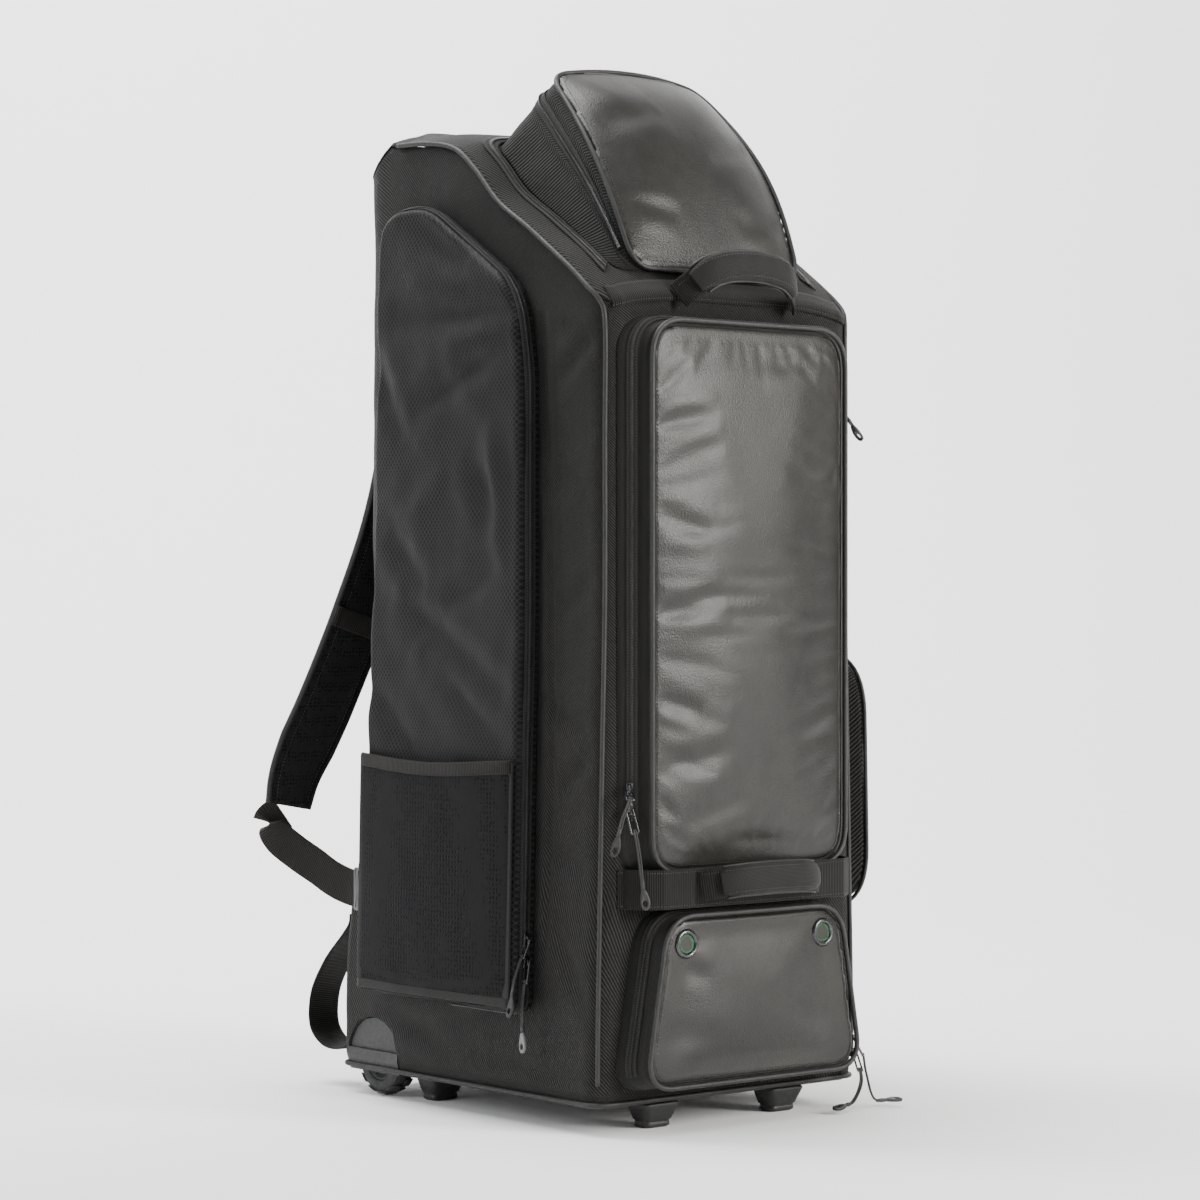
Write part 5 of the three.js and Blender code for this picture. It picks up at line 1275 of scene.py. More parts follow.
def make_helmet_pocket():
    foot = helmet_foot(helmet_unit)
    top = helmet_top(helmet_unit, 1.0) - HELMET_NORMAL * (SEAT + FABRIC)
    out = np.column_stack([helmet_unit[:, 0], helmet_unit[:, 1] * 0.8, np.zeros(len(helmet_unit))])
    out /= np.linalg.norm(out, axis=1)[:, None]

    def relief(t):
        bow = 1.2 * math.sin(math.pi * t)
        return bow + 1.0 * math.exp(-(((t - 0.6) / 0.03) ** 2)) + 0.8 * math.exp(-(((t - 0.9) / 0.04) ** 2))

    wall = gusset_wall("helmet_gusset_cloth", foot, top, out, relief, rows=34)
    tall = lambda p: np.clip((p[:, 2] - 790) / 120, 0, 1)
    pushed(wall, lambda p, n: (cloud(p, 34.0, 31) * 1.6 + cloud(p, 14.0, 32) * 0.35) * tall(p))
    dressed(wall, finish_twill, "nylon_twill", "helmet_gusset")
    count = len(foot)
    upper = tape_on("helmet_zip_line", foot, top, out, (0.66, 0.82), 40, 240, lift=1.4)
    placed(upper, "zip_tape", stands_for=["helmet_zip"])
    far = helmet_foot(helmet_unit, -13.0, 0.8)
    near = helmet_foot(helmet_unit, -1.0, 0.8)
    lower = tape_on(
        "lid_zip_line", far, near, np.tile([0.0, -0.35, 0.94], (count, 1)), (0.05, 0.95), 38, 242, lift=0.4,
    )
    placed(lower, "zip_tape", stands_for=["lid_zip"])
    inward = -HELMET_NORMAL * (FABRIC + 1.0)
    form = panel_form("helmet_leather", helmet_unit, np.zeros(2), lambda p, k: helmet_top(p, k), inward)
    edge = helmet_top(helmet_unit, 1.0)[::2]

    def held(p):
        return np.linalg.norm(p[:, None] - edge[None], axis=2).min(axis=1) < HELMET_HOLD

    stuffed(form, 4.0, held, pressure=2.5, reach=4.0, shrink=0.0)

    def wear(p, n):
        uv = p[:, [0, 2]]
        field = cloud(p, 70.0, 34) * 1.2 + cloud(p, 26.0, 35) * 0.15
        field = field + creased(uv, HELMET_CREASES)
        return field * (n @ HELMET_NORMAL > 0.4) * np.clip((98 - np.abs(p[:, 0])) / 14, 0, 1)

    pushed(form, wear)
    painted(form, finish_leather)
    placed(form, "leather_look", stands_for=["helmet_panel"])
    reach = PIPING - 0.8
    ring = helmet_top(helmet_unit, 1.0) + out * reach - HELMET_NORMAL * 0.6
    dressed(
        ring_tube("helmet_piping_tube", ring, PIPING, lift=HELMET_NORMAL), finish_piping, "piping",
        "helmet_piping",
    )
    seam = helmet_top(helmet_unit * 0.945, 0.945)
    seam = np.vstack([seam, seam[:1]])
    path, ups = surface_path(form, seam, tuple(-HELMET_NORMAL))
    placed(stitched("helmet_seams", [(path, ups)], *LEATHER_SEAM), "leather_look")


# Pockets on the sides

def side_pan(name, hand, outline, depth, crown, foot=None, count=520, levels=46, edge=7.0):
    """Pocket that stands off a side: foot on the body, rounded edge, and a face with an even map."""
    middle = middle_of(outline)
    foot = grown(outline, 1.0) if foot is None else foot

    def at(p, away):
        return np.column_stack([hand * (side_x(p[:, 1]) + away), p[:, 0], p[:, 1]])

    rings = [at(middle + (foot - middle) * 0.97, SEAT), at(foot, SEAT)]
    rings += [
        at(foot + (outline - foot) * t, SEAT + (depth - edge - SEAT) * t) for t in np.linspace(0.12, 1, 8)
    ]
    for angle in np.linspace(0, math.pi / 2, 6)[1:]:
        inset = edge * (1 - math.cos(angle))
        rings.append(at(grown(outline, -inset), depth - edge + edge * math.sin(angle)))
    base = grown(outline, -edge)
    for k in np.linspace(1, 0.02, levels)[1:]:
        rings.append(at(middle + (base - middle) * k, depth + crown * (1 - k * k)))
    made = skin(name, rings)
    flat_map(made, 1, 2)
    return made


def bat_outline():
    corners = [
        (0.262, 0.085, 14), (0.925, 0.085, 22), (0.875, 0.893, 34), (0.68, 0.899, 30), (0.3, 0.806, 40),
        (0.262, 0.72, 20),
    ]
    return rounded([(depth_at(a), height_at(u), r) for a, u, r in corners], 520)


def side_outline():
    corners = [
        (0.262, 0.46, 20), (0.93, 0.46, 20), (0.93, 0.885, 40), (0.72, 0.89, 30), (0.3, 0.8, 40),
        (0.262, 0.72, 20),
    ]
    return rounded([(depth_at(a), height_at(u), r) for a, u, r in corners], 420)


def pan_rings(hand, outline, depth):
    """Foot and edge of a side pocket's gusset, with its outward direction."""
    foot = grown(outline, 1.0)
    low = np.column_stack([hand * (side_x(foot[:, 1]) + SEAT), foot])
    high = np.column_stack([hand * (side_x(outline[:, 1]) + depth), outline])
    n = turned_out(outline)
    return low, high, np.column_stack([np.zeros(len(n)), n])


def where_on(points, test):
    return int(np.nonzero([test(p) for p in points])[0][0])


def make_side_pockets():
    outline = bat_outline()
    bat = side_pan("bat_pocket_cloth", -1, outline, BAT_DEPTH, 0.0)
    folds = [
        ((97, 838), (0, 798), 13, 3.8), ((100, 753), (-66, 748), 14, 4.4), ((68, 666), (-64, 718), 13, 4.4),
        ((-44, 645), (-58, 516), 12, -3.0), ((-10, 615), (-48, 558), 13, 3.4),
        ((-54, 513), (22, 482), 12, 3.0),
        ((110, 540), (60, 499), 13, 3.2), ((84, 478), (-60, 398), 14, 4.0), ((54, 430), (-60, 350), 13, 3.6),
        ((140, 400), (64, 330), 13, 3.0), ((92, 854), (30, 826), 11, 2.6), ((140, 720), (96, 640), 12, 2.6),
        ((30, 600), (80, 560), 14, -1.8), ((20, 700), (-30, 660), 14, -1.6),
    ]

    def hang(p, n):
        facing = n[:, 0] < -0.3
        uv = p[:, 1:]
        field = cloud(p, 110.0, 41) * 2.8 + cloud(p, 48.0, 42) * 1.7 + cloud(p, 20.0, 43) * 0.5
        return (field + creased(uv, folds)) * facing

    pushed(bat, hang)
    dressed(bat, finish_ripstop, "ripstop", "bat_pocket")
    low, high, out = pan_rings(-1, outline, BAT_DEPTH)
    first = where_on(outline, lambda p: p[1] > height_at(0.86))
    band = tape_on("bat_zip_line", low, high, out, (0.22, 0.7), first, len(outline) - 2, lift=0.5)
    placed(band, "zip_tape", stands_for=["bat_pocket_zip"])

    outline = side_outline()
    pan = side_pan("side_pocket_cloth", 1, outline, SIDE_DEPTH, SIDE_CROWN)
    folds = [
        ((110, 760), (-30, 620), 12, 2.2), ((120, 600), (0, 500), 12, 2.2),
        ((-70, 700), (30, 560), 11, 1.8), ((60, 830), (-30, 770), 10, 1.5),
    ]

    def hang_right(p, n):
        field = cloud(p, 90.0, 51) * 2.0 + cloud(p, 40.0, 52) * 0.9
        return (field + creased(p[:, 1:], folds)) * (n[:, 0] > 0.3)

    pushed(pan, hang_right)
    dressed(pan, finish_ripstop, "ripstop", "side_pocket")
    low, high, out = pan_rings(1, outline, SIDE_DEPTH)
    first = where_on(outline, lambda p: p[1] > height_at(0.86))
    band = tape_on("side_zip_line", low, high, out, (0.22, 0.7), first, len(outline) - 2, lift=0.5)
    placed(band, "zip_tape", stands_for=["side_pocket_zip"])

    start = BODY_FRONT + FRONT["corner"] * 0.2
    stop, bottom, top = start + BALL["width"], BALL["bottom"], BALL["bottom"] + BALL["height"]
    outline = rounded([(start, bottom, 60), (stop, bottom, 40), (stop, top, 40), (start, top, 60)], 420)
    room = BODY_FRONT + CORNER_ROUND + 1
    shifted = outline[:, 0] + np.where(outline[:, 0] < room, BALL["overhang"], 0.0)
    foot = np.column_stack([np.maximum(shifted, room), outline[:, 1]])
    ball = side_pan("ball_pocket_cloth", 1, outline, BALL["depth"] - 6, 8.0, foot=foot, edge=16.0)

    folds = (
        ((-160, 380), (-60, 330), 12, 2.2),
        ((60, 400), (-20, 340), 12, 2.0),
        ((-150, 240), (-40, 260), 12, 1.8),
    )

    def sag(p, n):
        field = cloud(p, 80.0, 61) * 2.2 + cloud(p, 34.0, 62) * 0.9
        return (field + creased(p[:, 1:], folds)) * (n[:, 0] > 0.3) - 1.0

    pushed(ball, sag)
    dressed(ball, finish_twill, "nylon_twill", "ball_pocket")
    n = turned_out(outline)
    rim = grown(outline, 1.2)
    wide = side_x(rim[:, 1]) + BALL["depth"] - 18
    tube = ring_tube("ball_pocket_piping", np.column_stack([wide, rim]), 2.0, lift=(1, 0, 0))
    dressed(tube, finish_piping, "piping")
    make_mesh_pocket()


def make_mesh_pocket():
    low = height_at(0.085) + FABRIC
    start, stop = depth_at(0.262) + FABRIC, depth_at(0.925) - FABRIC

    def grid(extra, rows=60, cols=90):
        r, c = np.meshgrid(np.linspace(0, 1, rows), np.linspace(0, 1, cols), indexing="ij")
        y = start + (stop - start) * c
        sag = 5.0 * r * np.sin(math.pi * c) ** 1.5
        z = low + r * MESH_HEIGHT - sag
        bulge = MESH_BULGE * np.minimum(1, r * 9) * np.sin(math.pi * c) ** 0.5 * (0.75 + 0.25 * r)
        flat = np.column_stack([y.ravel(), z.ravel(), 0 * z.ravel()])
        noise_field = cloud(flat, 36.0, 71).reshape(r.shape) * np.sin(math.pi * c)
        x = -(side_x(z) + BAT_DEPTH + 0.9 + bulge + np.minimum(noise_field, 0.5) + extra)
        return np.stack([x, y, z], axis=2)

    outer, inner = grid(1.2), grid(0.0)
    cloth = slab("mesh_pocket_cloth", outer, inner)
    flat_map(cloth, 1, 2)
    painted(cloth, finish_pocket_mesh)
    hem_line = outer[-1] + np.array([0.2, 0, -4.0])
    parts = [cloth]
    hem = swept("mesh_hem", hem_line, (0, 0, 1), flat_section(13, 3.4))
    parts.append(painted(hem, finish_webbing))
    for column in (0, -1):
        edge = outer[:, column] + np.array([-0.4, 2.5 if column == 0 else -2.5, 0])
        parts.append(painted(swept("mesh_edge", edge, (0, 1, 0), flat_section(9, 2.4)), finish_cloth))
    base = outer[1] + np.array([-0.6, 0, 2.0])
    parts.append(painted(swept("mesh_base", base, (0, 0, 1), flat_section(9, 2.4)), finish_cloth))
    placed(joined_as("mesh_pocket_bound", parts), "spacer_mesh", stands_for=["mesh_pocket"])


# Webbing bands and grips

def make_upper_band():
    radius = CORNER_ROUND
    flat = HALF_WIDTH - radius
    front = float(front_y(UPPER_BAND))
    run = BAND_WIDTH * 0.34
    xs = np.concatenate(
        [
            np.linspace(-flat - radius * 0.5, -flat, 8), np.linspace(-flat, flat, 70)[1:-1],
            np.linspace(flat, flat + radius * 0.5, 8),
        ]
    )

    def line(x, away):
        past = max(0.0, abs(x) - flat)
        foot_z = UPPER_BAND + float(rim_z(x, front) - rim_z(HALF_WIDTH, front))
        back = radius - math.sqrt(radius * radius - past * past) - (0.6 if past > 0 else 0)
        top_y = front + run + back
        corner_z = float(lid_z(x, front)) + 2
        rise = float(lid_z(x, top_y)) + 1.9
        made = [
            (x, front - SEAT - away + back, foot_z + t * (corner_z - 2.2 - foot_z))
            for t in np.linspace(0, 1, 9)
        ]
        made.append((x, front - SEAT - away * 0.8 + back + 0.7, corner_z - 0.5 + away * 0.3))
        for t in np.linspace(0.12, 1, 5):
            made.append(
                (
                    x, (front + back) * (1 - t) + top_y * t - away * 0.5,
                    corner_z * (1 - t) + rise * t + away * 0.7,
                )
            )
        return made

    band = slab("upper_band_webbing", [line(x, BAND_THICK) for x in xs], [line(x, 0) for x in xs])
    painted(band, finish_webbing)
    path = np.array([line(x, BAND_THICK)[0] for x in xs]) + (0, -0.2, 2.6)
    seam = stitched("band_stitches", [(path, (0, -1, 0))], *BAND_SEAM)
    placed(joined_as("upper_band_sewn", [band, seam]), "webbing", stands_for=["upper_band"])


BAND_FACE = float(front_y(FRONT["bottom"])) - FRONT["depth"] - PIPING * 2 - 1


def make_lower_band():
    foot = float(front_y(LOWER_BAND)) - SEAT
    half = FRONT["bottom_width"] / 2
    stops = [
        (-HALF_WIDTH + 15, foot), (-HALF_WIDTH + 20, foot - 2), (-half - 8, BAND_FACE + 8),
        (-half + 6, BAND_FACE),
        (-half / 2, BAND_FACE - 1), (0, BAND_FACE - 1.5), (half / 2, BAND_FACE - 1), (half - 6, BAND_FACE),
        (half + 8, BAND_FACE + 8), (HALF_WIDTH - 20, foot - 2), (HALF_WIDTH - 15, foot),
    ]
    path = np.array([(x, y, LOWER_BAND + BAND_WIDTH / 2) for x, y in stops])
    dense = spaced(path, 160)
    band = swept("lower_band_webbing", dense, (0, 0, 1), flat_section(BAND_WIDTH, BAND_THICK))
    painted(band, finish_webbing)
    rows = []
    for z in (LOWER_BAND + 3, LOWER_BAND + BAND_WIDTH - 3):
        edge = dense.copy()
        edge[:, 1] -= BAND_THICK / 2 + 0.3
        edge[:, 2] = z
        rows.append((edge, (0, -1, 0)))
    seam = stitched("band_stitches", rows, *BAND_SEAM)
    placed(joined_as("lower_band_sewn", [band, seam]), "webbing", stands_for=["lower_band"])


def make_grip(name, base_y, base_z, arch, stand_off, node_name):
    """Webbing handle with a padded wrap round its middle, sewn to the band at both ends."""
    half = 72.0
    stops = [
        (-half, 0, 0), (-half * 0.86, 0.5, 0.35), (-half * 0.6, 0.95, 0.8), (0, 1.06, 1),
        (half * 0.6, 0.95, 0.8), (half * 0.86, 0.5, 0.35), (half, 0, 0),
    ]
    path = flowing([(x, base_y - out * stand_off, base_z + up * arch) for x, out, up in stops], 120)
    strap = swept(name + "_strap", path, (0, 0.12, 1), flat_section(27, 3.0))
    painted(strap, finish_webbing)
    middle = path[14:106]
    t = np.linspace(0, 1, len(middle))
    swell = 1 - 0.3 * np.abs(2 * t - 1) ** 6
    angle = np.linspace(0, 2 * math.pi, 28, endpoint=False)
    c, s = np.cos(angle), np.sin(angle)
    section = np.column_stack([np.sign(c) * np.abs(c) ** 0.62 * 14.5, np.sign(s) * np.abs(s) ** 0.72 * 7.0])
    wrap = swept(
        name + "_wrap", middle, (0, 0.12, 1), section, scale=np.column_stack([swell, 0.45 + 0.55 * swell]),
    )
    pushed(wrap, lambda p, n: cloud(p, 14.0, 81) * 0.5)
    painted(wrap, finish_cloth)
    across, out = framed(middle, (0, 0.12, 1))[1:]
    parts = [strap, wrap]
    for sign in (-1, 1):
        edge = middle[3:-3] + across[3:-3] * sign * 14.3 + out[3:-3] * 0.5
        parts.append(painted(swept(name + "_edge", edge, (0, 0.12, 1), circle(1.3, 8)), finish_piping))
        rows = middle[4:-4] + across[4:-4] * sign * 10.2
        facing = -out if (out[:, 1].mean() > 0) else out
        face_rows = rows + facing[4:-4] * 6.3
        parts.append(stitched(name + "_rows", [(face_rows, facing[4:-4])], *BAND_SEAM))
    for i, j in ((0, 12), (-13, -1)):
        end = path[i:j] if j != -1 else path[i:]
        box = []
        for sign in (-1, 1):
            box.append((end + np.array([0, -2.0, sign * 10.5]), (0, -1, 0)))
        parts.append(stitched(name + "_box", box, 2.6, 2.0, 0.7))
    made = joined_as(name + "_sewn", parts)
    placed(made, "webbing", stands_for=[node_name])


def make_grips():
    end_thick = (BAND_THICK + 1) / 2
    upper = float(front_y(UPPER_BAND)) - SEAT * 6 - BAND_THICK - end_thick
    make_grip("upper_grip", upper, UPPER_BAND + BAND_WIDTH * 0.5, BAND_WIDTH * 0.85, 12 + 7.5, "upper_handle")
    lower = BAND_FACE - 1.5 - BAND_THICK - SEAT * 2 - end_thick
    make_grip("lower_grip", lower, LOWER_BAND + BAND_WIDTH * 0.55, 6, 12 + 7.5, "lower_handle")


# Back panel, straps and loops

STRAP_ROUTE = [
    (0.4, 0, 0.945), (0.4, 0.003, 0.89), (0.42, 0.006, 0.782), (0.5, 0.02, 0.674), (0.618, 0.08, 0.577),
    (0.787, 0.24, 0.48), (0.973, 0.47, 0.382), (1.15, 0.625, 0.306), (1.19, 0.66, 0.272),
]
WEBBING_ROUTE = [
    (1.204, 0.737, 0.2645), (1.25, 0.85, 0.254), (1.24, 0.78, 0.241), (1.187, 0.548, 0.224),
    (1.13, 0.281, 0.209),
    (1.09, 0.037, 0.196),
]
LOOP_ROUTE = [
    (0.006, 0.158), (0.02, 0.148), (0.16, 0.136), (0.62, 0.104), (0.97, 0.066), (0.98, 0.031), (0.68, 0.014),
    (0.28, 0.012), (0.05, 0.018), (0.006, 0.032),
]


def make_back():
    top, bottom = height_at(0.95), height_at(0.38)
    reach = BACK_WIDTH / 2
    points = rounded([(-reach, bottom, 40), (reach, bottom, 40), (reach, top, 40), (-reach, top, 40)], 320)
    middle = middle_of(points)

    def face(p, k):
        dome = min(1, (1 - k) * 8) * 2
        return np.column_stack([p[:, 0], back_y(p[:, 1]) + SEAT + BACK_THICK - 2.5 + dome, p[:, 1]])

    def flat(p):
        return np.column_stack([p[:, 0], back_y(p[:, 1]) + SEAT, p[:, 1]])

    rings = [flat(middle + (points - middle) * k) for k in (0.05, 0.5, 0.98)]
    rings += [face(middle + (points - middle) * k, k) for k in 1 - np.linspace(0, 0.96, 16) ** 1.2]
    form = skin("back_pad", rings)
    stuffed(form, 5.0, lambda p: p[:, 1] < back_y(p[:, 2]) + 3.0, pressure=2.0, reach=2.0, shrink=-0.01)

    def channels(p, n):
        facing = n[:, 1] > 0.4
        field = np.zeros(len(p))
        for x in (-60.0, 0.0, 60.0):
            field -= 2.2 * np.exp(-(((p[:, 0] - x) / 4.0) ** 2)) * (
                (p[:, 2] > bottom + 40) & (p[:, 2] < top - 40)
            )
        for z in (bottom + 36, top - 36, (top + bottom) / 2):
            field -= 2.0 * np.exp(-(((p[:, 2] - z) / 4.0) ** 2)) * (np.abs(p[:, 0]) < 92)
        return field * facing + cloud(p, 40.0, 91) * 0.5 * facing

    pushed(form, channels)
    painted(form, finish_spacer)
    placed(form, "spacer_mesh", stands_for=["back_panel"])
    ring = np.column_stack([grown(points, 1.2)[:, 0], back_y(points[:, 1]) + 2.6, grown(points, 1.2)[:, 1]])
    placed(painted(ring_tube("back_pad_piping", ring, 2.0, lift=(0, 1, 0)), finish_piping), "piping")
    for side, hand in (("left", -1), ("right", 1)):
        make_strap(side, hand)
        make_loop(side, hand)


def make_strap(side, hand):
    wall = float(back_y(height_at(0.7))) + BACK_THICK + STRAP_THICK / 2 + SEAT * 2
    at = lambda route: [(hand * w * HALF_WIDTH, wall + b * STRAP_HANG, height_at(u)) for w, b, u in route]
    path = flowing(at(STRAP_ROUTE), 150)
    half = STRAP_WIDTH / 2
    xs = np.concatenate([[-half + 1], np.linspace(-half + 5, half - 5, 15), [half - 1]])
    rise = (STRAP_THICK / 2) * (1 - (np.abs(xs) / (half + 3)) ** 4)
    rise -= 1.6 * np.exp(-(((np.abs(xs) - half + 9) / 2.2) ** 2))
    section = np.vstack([np.column_stack([xs, rise]), np.column_stack([xs, -rise])[::-1]])
    t = np.linspace(0, 1, len(path))
    width = np.where(t < 0.9, 1.0, 1 - (t - 0.9) * 2.4)
    pad = swept(
        "strap_pad_" + side, path, (1, 0, 0), section,
        scale=np.column_stack(
            [width, 1 - 0.5 * np.exp(-((t / 0.03) ** 2)) - 0.35 * np.exp(-(((1 - t) / 0.03) ** 2))]
        ),
    )
    pushed(pad, lambda p, n: cloud(p, 36.0, 95 + hand) * 0.9 + cloud(p, 15.0, 97) * 0.25)
    painted(pad, finish_spacer)
    across, out = framed(path, (1, 0, 0))[1:]
    parts = [pad]
    for sign in (-1, 1):
        edge = path + across * (sign * (half - 0.8) * width)[:, None]
        parts.append(
            painted(
                swept(
                    "strap_binding", edge, (1, 0, 0),
                    np.column_stack([circle(2.0, 10)[:, 0] * 0.9, circle(4.4, 10)[:, 1]]),
                ),
                finish_cloth,
            )
        )
        row = path + across * (sign * (half - 9) * width)[:, None]
        for face in (-1, 1):
            parts.append(
                stitched(
                    "strap_row",
                    [(row[2:-2] + out[2:-2] * face * (STRAP_THICK / 2 - 1.1), out[2:-2] * face)], 3.4, 2.4,
                    0.7,
                )
            )
    for i in (46, 104):
        run = np.linspace(-half - 0.8, half + 0.8, 20)
        line = path[i] + across[i] * run[:, None] + out[i] * (STRAP_THICK / 2 + 0.6)
        line[0] -= out[i] * 3
        line[-1] -= out[i] * 3
        keeper = swept("strap_keeper", line, tuple(np.cross(across[i], out[i])), flat_section(20, 1.8))
        parts.append(painted(keeper, finish_webbing))
    made = joined_as("shoulder_pad_" + side, parts)
    placed(made, "spacer_mesh", stands_for=["shoulder_strap_" + side])

    anchor_z = height_at(0.188)
    anchor_x = float(side_x(anchor_z - WEBBING_WIDTH / 2)) + WEBBING_THICK / 2 + SEAT * 3
    anchor_y = depth_at(0.979)
    route = at(WEBBING_ROUTE) + [
        (hand * anchor_x, anchor_y + 22, anchor_z), (hand * anchor_x, anchor_y, anchor_z),
    ]
    line = flowing(route, 130)
    strap = swept("strap_webbing_run_" + side, line, (0, 0, 1), flat_section(WEBBING_WIDTH, WEBBING_THICK))
    dressed(strap, finish_webbing, "webbing", "strap_webbing_" + side)

    y0, y1 = anchor_y + 1, anchor_y + 14
    x0 = anchor_x + WEBBING_THICK / 2 + SEAT
    tall = WEBBING_WIDTH / 2 + 3
    outline = rounded(
        [
            (y0, anchor_z - tall, 3), (y1, anchor_z - tall, 3), (y1, anchor_z + tall, 3),
            (y0, anchor_z + tall, 3),
        ],
        60,
    )
    rings = [
        np.column_stack([np.full(60, hand * (x0 + dx)), grown(outline, -inset)])
        for dx, inset in ((0, 0.8), (0.6, 0), (3.0, 0), (3.9, 0.9), (4.0, 4.5))
    ]
    dressed(skin("buckle_plate_" + side, rings), finish_buckle, "plastic", "strap_buckle_" + side)


def make_loop(side, hand):
    x = hand * (HALF_WIDTH - WEBBING_WIDTH / 2 - 2)
    path = []
    for behind, up in LOOP_ROUTE:
        z = height_at(up)
        path.append((x, float(back_y(z)) + WEBBING_THICK / 2 + behind * LOOP_REACH, z))
    line = flowing(path, 150)
    strap = swept("loop_webbing_" + side, line, (1, 0, 0), flat_section(WEBBING_WIDTH, WEBBING_THICK))
    dressed(strap, finish_webbing, "webbing", "lower_loop_" + side)


# Base, wheels and feet

def make_base():
    outline = body_ring(FLOOR_GAP, 4)[:, :2]
    low, high = FLOOR_GAP - SEAT - 3.0, FLOOR_GAP - SEAT
    rings = []
    middle = middle_of(outline)
    for z, inset in ((high, 0.0), (high - 0.8, 0.0), (low + 0.8, 0.0), (low, 0.8)):
        rings.append(np.column_stack([grown(outline, -inset), np.full(len(outline), z)]))
    board = skin("base_board_moulding", rings)
    for hand in (-1, 1):
        cut_for_wheel(board, hand)
    dressed(board, finish_plastic, "plastic", "base_board")
    for node_name in ("wheel_guard_left", "wheel_guard_right"):
        paint_node(node_name, finish_plastic)
    for node_name in ("axle_left", "axle_right"):
        paint_node(node_name, finish_metal)
    for side, hand in (("left", -1), ("right", 1)):
        make_wheel(side, hand)
        for end, spacing, y in (
            ("front", 156.0, BODY_FRONT + 22.0), ("rear", 244.0, float(back_y(FLOOR_GAP)) - 108.0),
        ):
            make_foot(end + "_foot_" + side, hand * spacing / 2, y)


def paint_node(name, material):
    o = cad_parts[name]
    o.data.materials.clear()
    o.data.materials.append(material)


def make_foot(name, x, y):
    def ring(size, z, lean, inset=0.0):
        u, v = size / 2 - inset, size * 0.36 - inset
        outline = rounded([(-u, -v, 6), (u, -v, 6), (u, v, 6), (-u, v, 6)], 64)
        return np.column_stack([outline[:, 0] + x, outline[:, 1] + y + lean, np.full(64, z)])

    top = FLOOR_GAP - SEAT - 3.0 - SEAT
    rings = [ring(30, 0, 2, 4), ring(30, 0, 2, 1.6), ring(30, 1.4, 2), ring(30, 4.0, 1.8)]
    rings += [ring(31.2, 5.0, 1.7, 1.0), ring(31.4, 6.4, 1.6, 1.0), ring(32, 7.4, 1.5)]
    rings += [ring(42, top - 2.6, 0), ring(42, top - 0.8, 0), ring(42, top, 0, 1.2), ring(42, top, 0, 6)]
    dressed(skin(name + "_moulding", rings), finish_plastic, "plastic", name)


def make_wheel(side, hand):
    """Off-road tyre on a dished hub: two rows of staggered blocks round a rounded casing."""
    body = "wheel_%s_body" % side
    half = WHEEL_WIDTH / 2

    def revolve(name, profile, sides=96):
        angle = np.linspace(0, 2 * math.pi, sides, endpoint=False)
        rings = [
            np.column_stack(
                [
                    np.full(sides, hand * WHEEL_X + hand * a), WHEEL_Y + r * np.cos(angle),
                    WHEEL_RADIUS + r * np.sin(angle),
                ]
            )
            for a, r in profile
        ]
        return skin(name, rings, joined=True)

    casing = [
        (-half + 0.4, 22), (-half, 26), (-half + 0.6, 30.5), (-half + 2.6, 32.6), (0, 33.2),
        (half - 2.6, 32.6), (half - 0.6, 30.5), (half, 26), (half - 0.4, 22), (half - 2, 20.5),
        (-half + 2, 20.5),
    ]
    parts = [painted(revolve("tyre_casing", casing), finish_rubber)]
    blocks = 13
    for row, (low, high) in enumerate(((-half - 0.2, -0.6), (0.6, half + 0.2))):
        for i in range(blocks):
            turn = (i + 0.5 * row) / blocks * 2 * math.pi
            span = 2 * math.pi / blocks
            grid = []
            for r, widen in ((32.0, 1.0), (35.4, 0.96), (36.0, 0.88)):
                corners = []
                lean = 0.16 if row else -0.16
                for x, s in ((low, -0.31), (high, -0.31), (high, 0.31), (low, 0.31)):
                    middle_x = (low + high) / 2
                    px = middle_x + (x - middle_x) * (widen if r > 35.5 else 1.0)
                    drop = 2.4 if abs(px) > half - 1 and r > 34 else 0.0
                    angle = turn + s * span * widen + lean * span * (x - middle_x) / (high - low)
                    rr = r - drop
                    corners.append(
                        (
                            hand * (WHEEL_X + px), WHEEL_Y + rr * math.cos(angle),
                            WHEEL_RADIUS + rr * math.sin(angle),
                        )
                    )
                dense = spaced(np.array(corners), 12, closed=True)
                grid.append(dense)
            parts.append(painted(skin("tread_block", grid), finish_rubber))
    hub = [
        (-half + 2.4, 5.0), (-half + 2.4, 19.0), (-half + 1.6, 21.0), (half - 1.6, 21.0),
        (half - 2.0, 19.0), (half - 4.4, 17.0), (half - 5.0, 10.5), (half - 2.0, 9.4), (half + 1.2, 8.0),
        (half + 1.8, 5.2), (half + 1.4, 4.6), (0, 4.6),
    ]
    parts.append(painted(revolve("wheel_hub", hub, 64), finish_plastic))
    for i in range(5):
        turn = 2 * math.pi * i / 5 + 0.2
        x0, x1 = half - 5.0, half - 2.6
        rings = []
        for x, grow in ((x0, 1.0), (x1, 1.0), (x1 + 0.4, 0.8)):
            points = []
            for r, w in ((10.0, -1.6), (18.0, -1.2), (18.0, 1.2), (10.0, 1.6)):
                cy = r * math.cos(turn) - w * grow * math.sin(turn)
                cz = r * math.sin(turn) + w * grow * math.cos(turn)
                points.append((hand * (WHEEL_X + x), WHEEL_Y + cy, WHEEL_RADIUS + cz))
            rings.append(spaced(np.array(points), 16, closed=True))
        parts.append(painted(skin("hub_rib", rings), finish_plastic))
    made = joined_as("wheel_tread_" + side, parts)
    placed(made, "tyre", body=body, stands_for=["wheel_" + side])


# Zip pulls

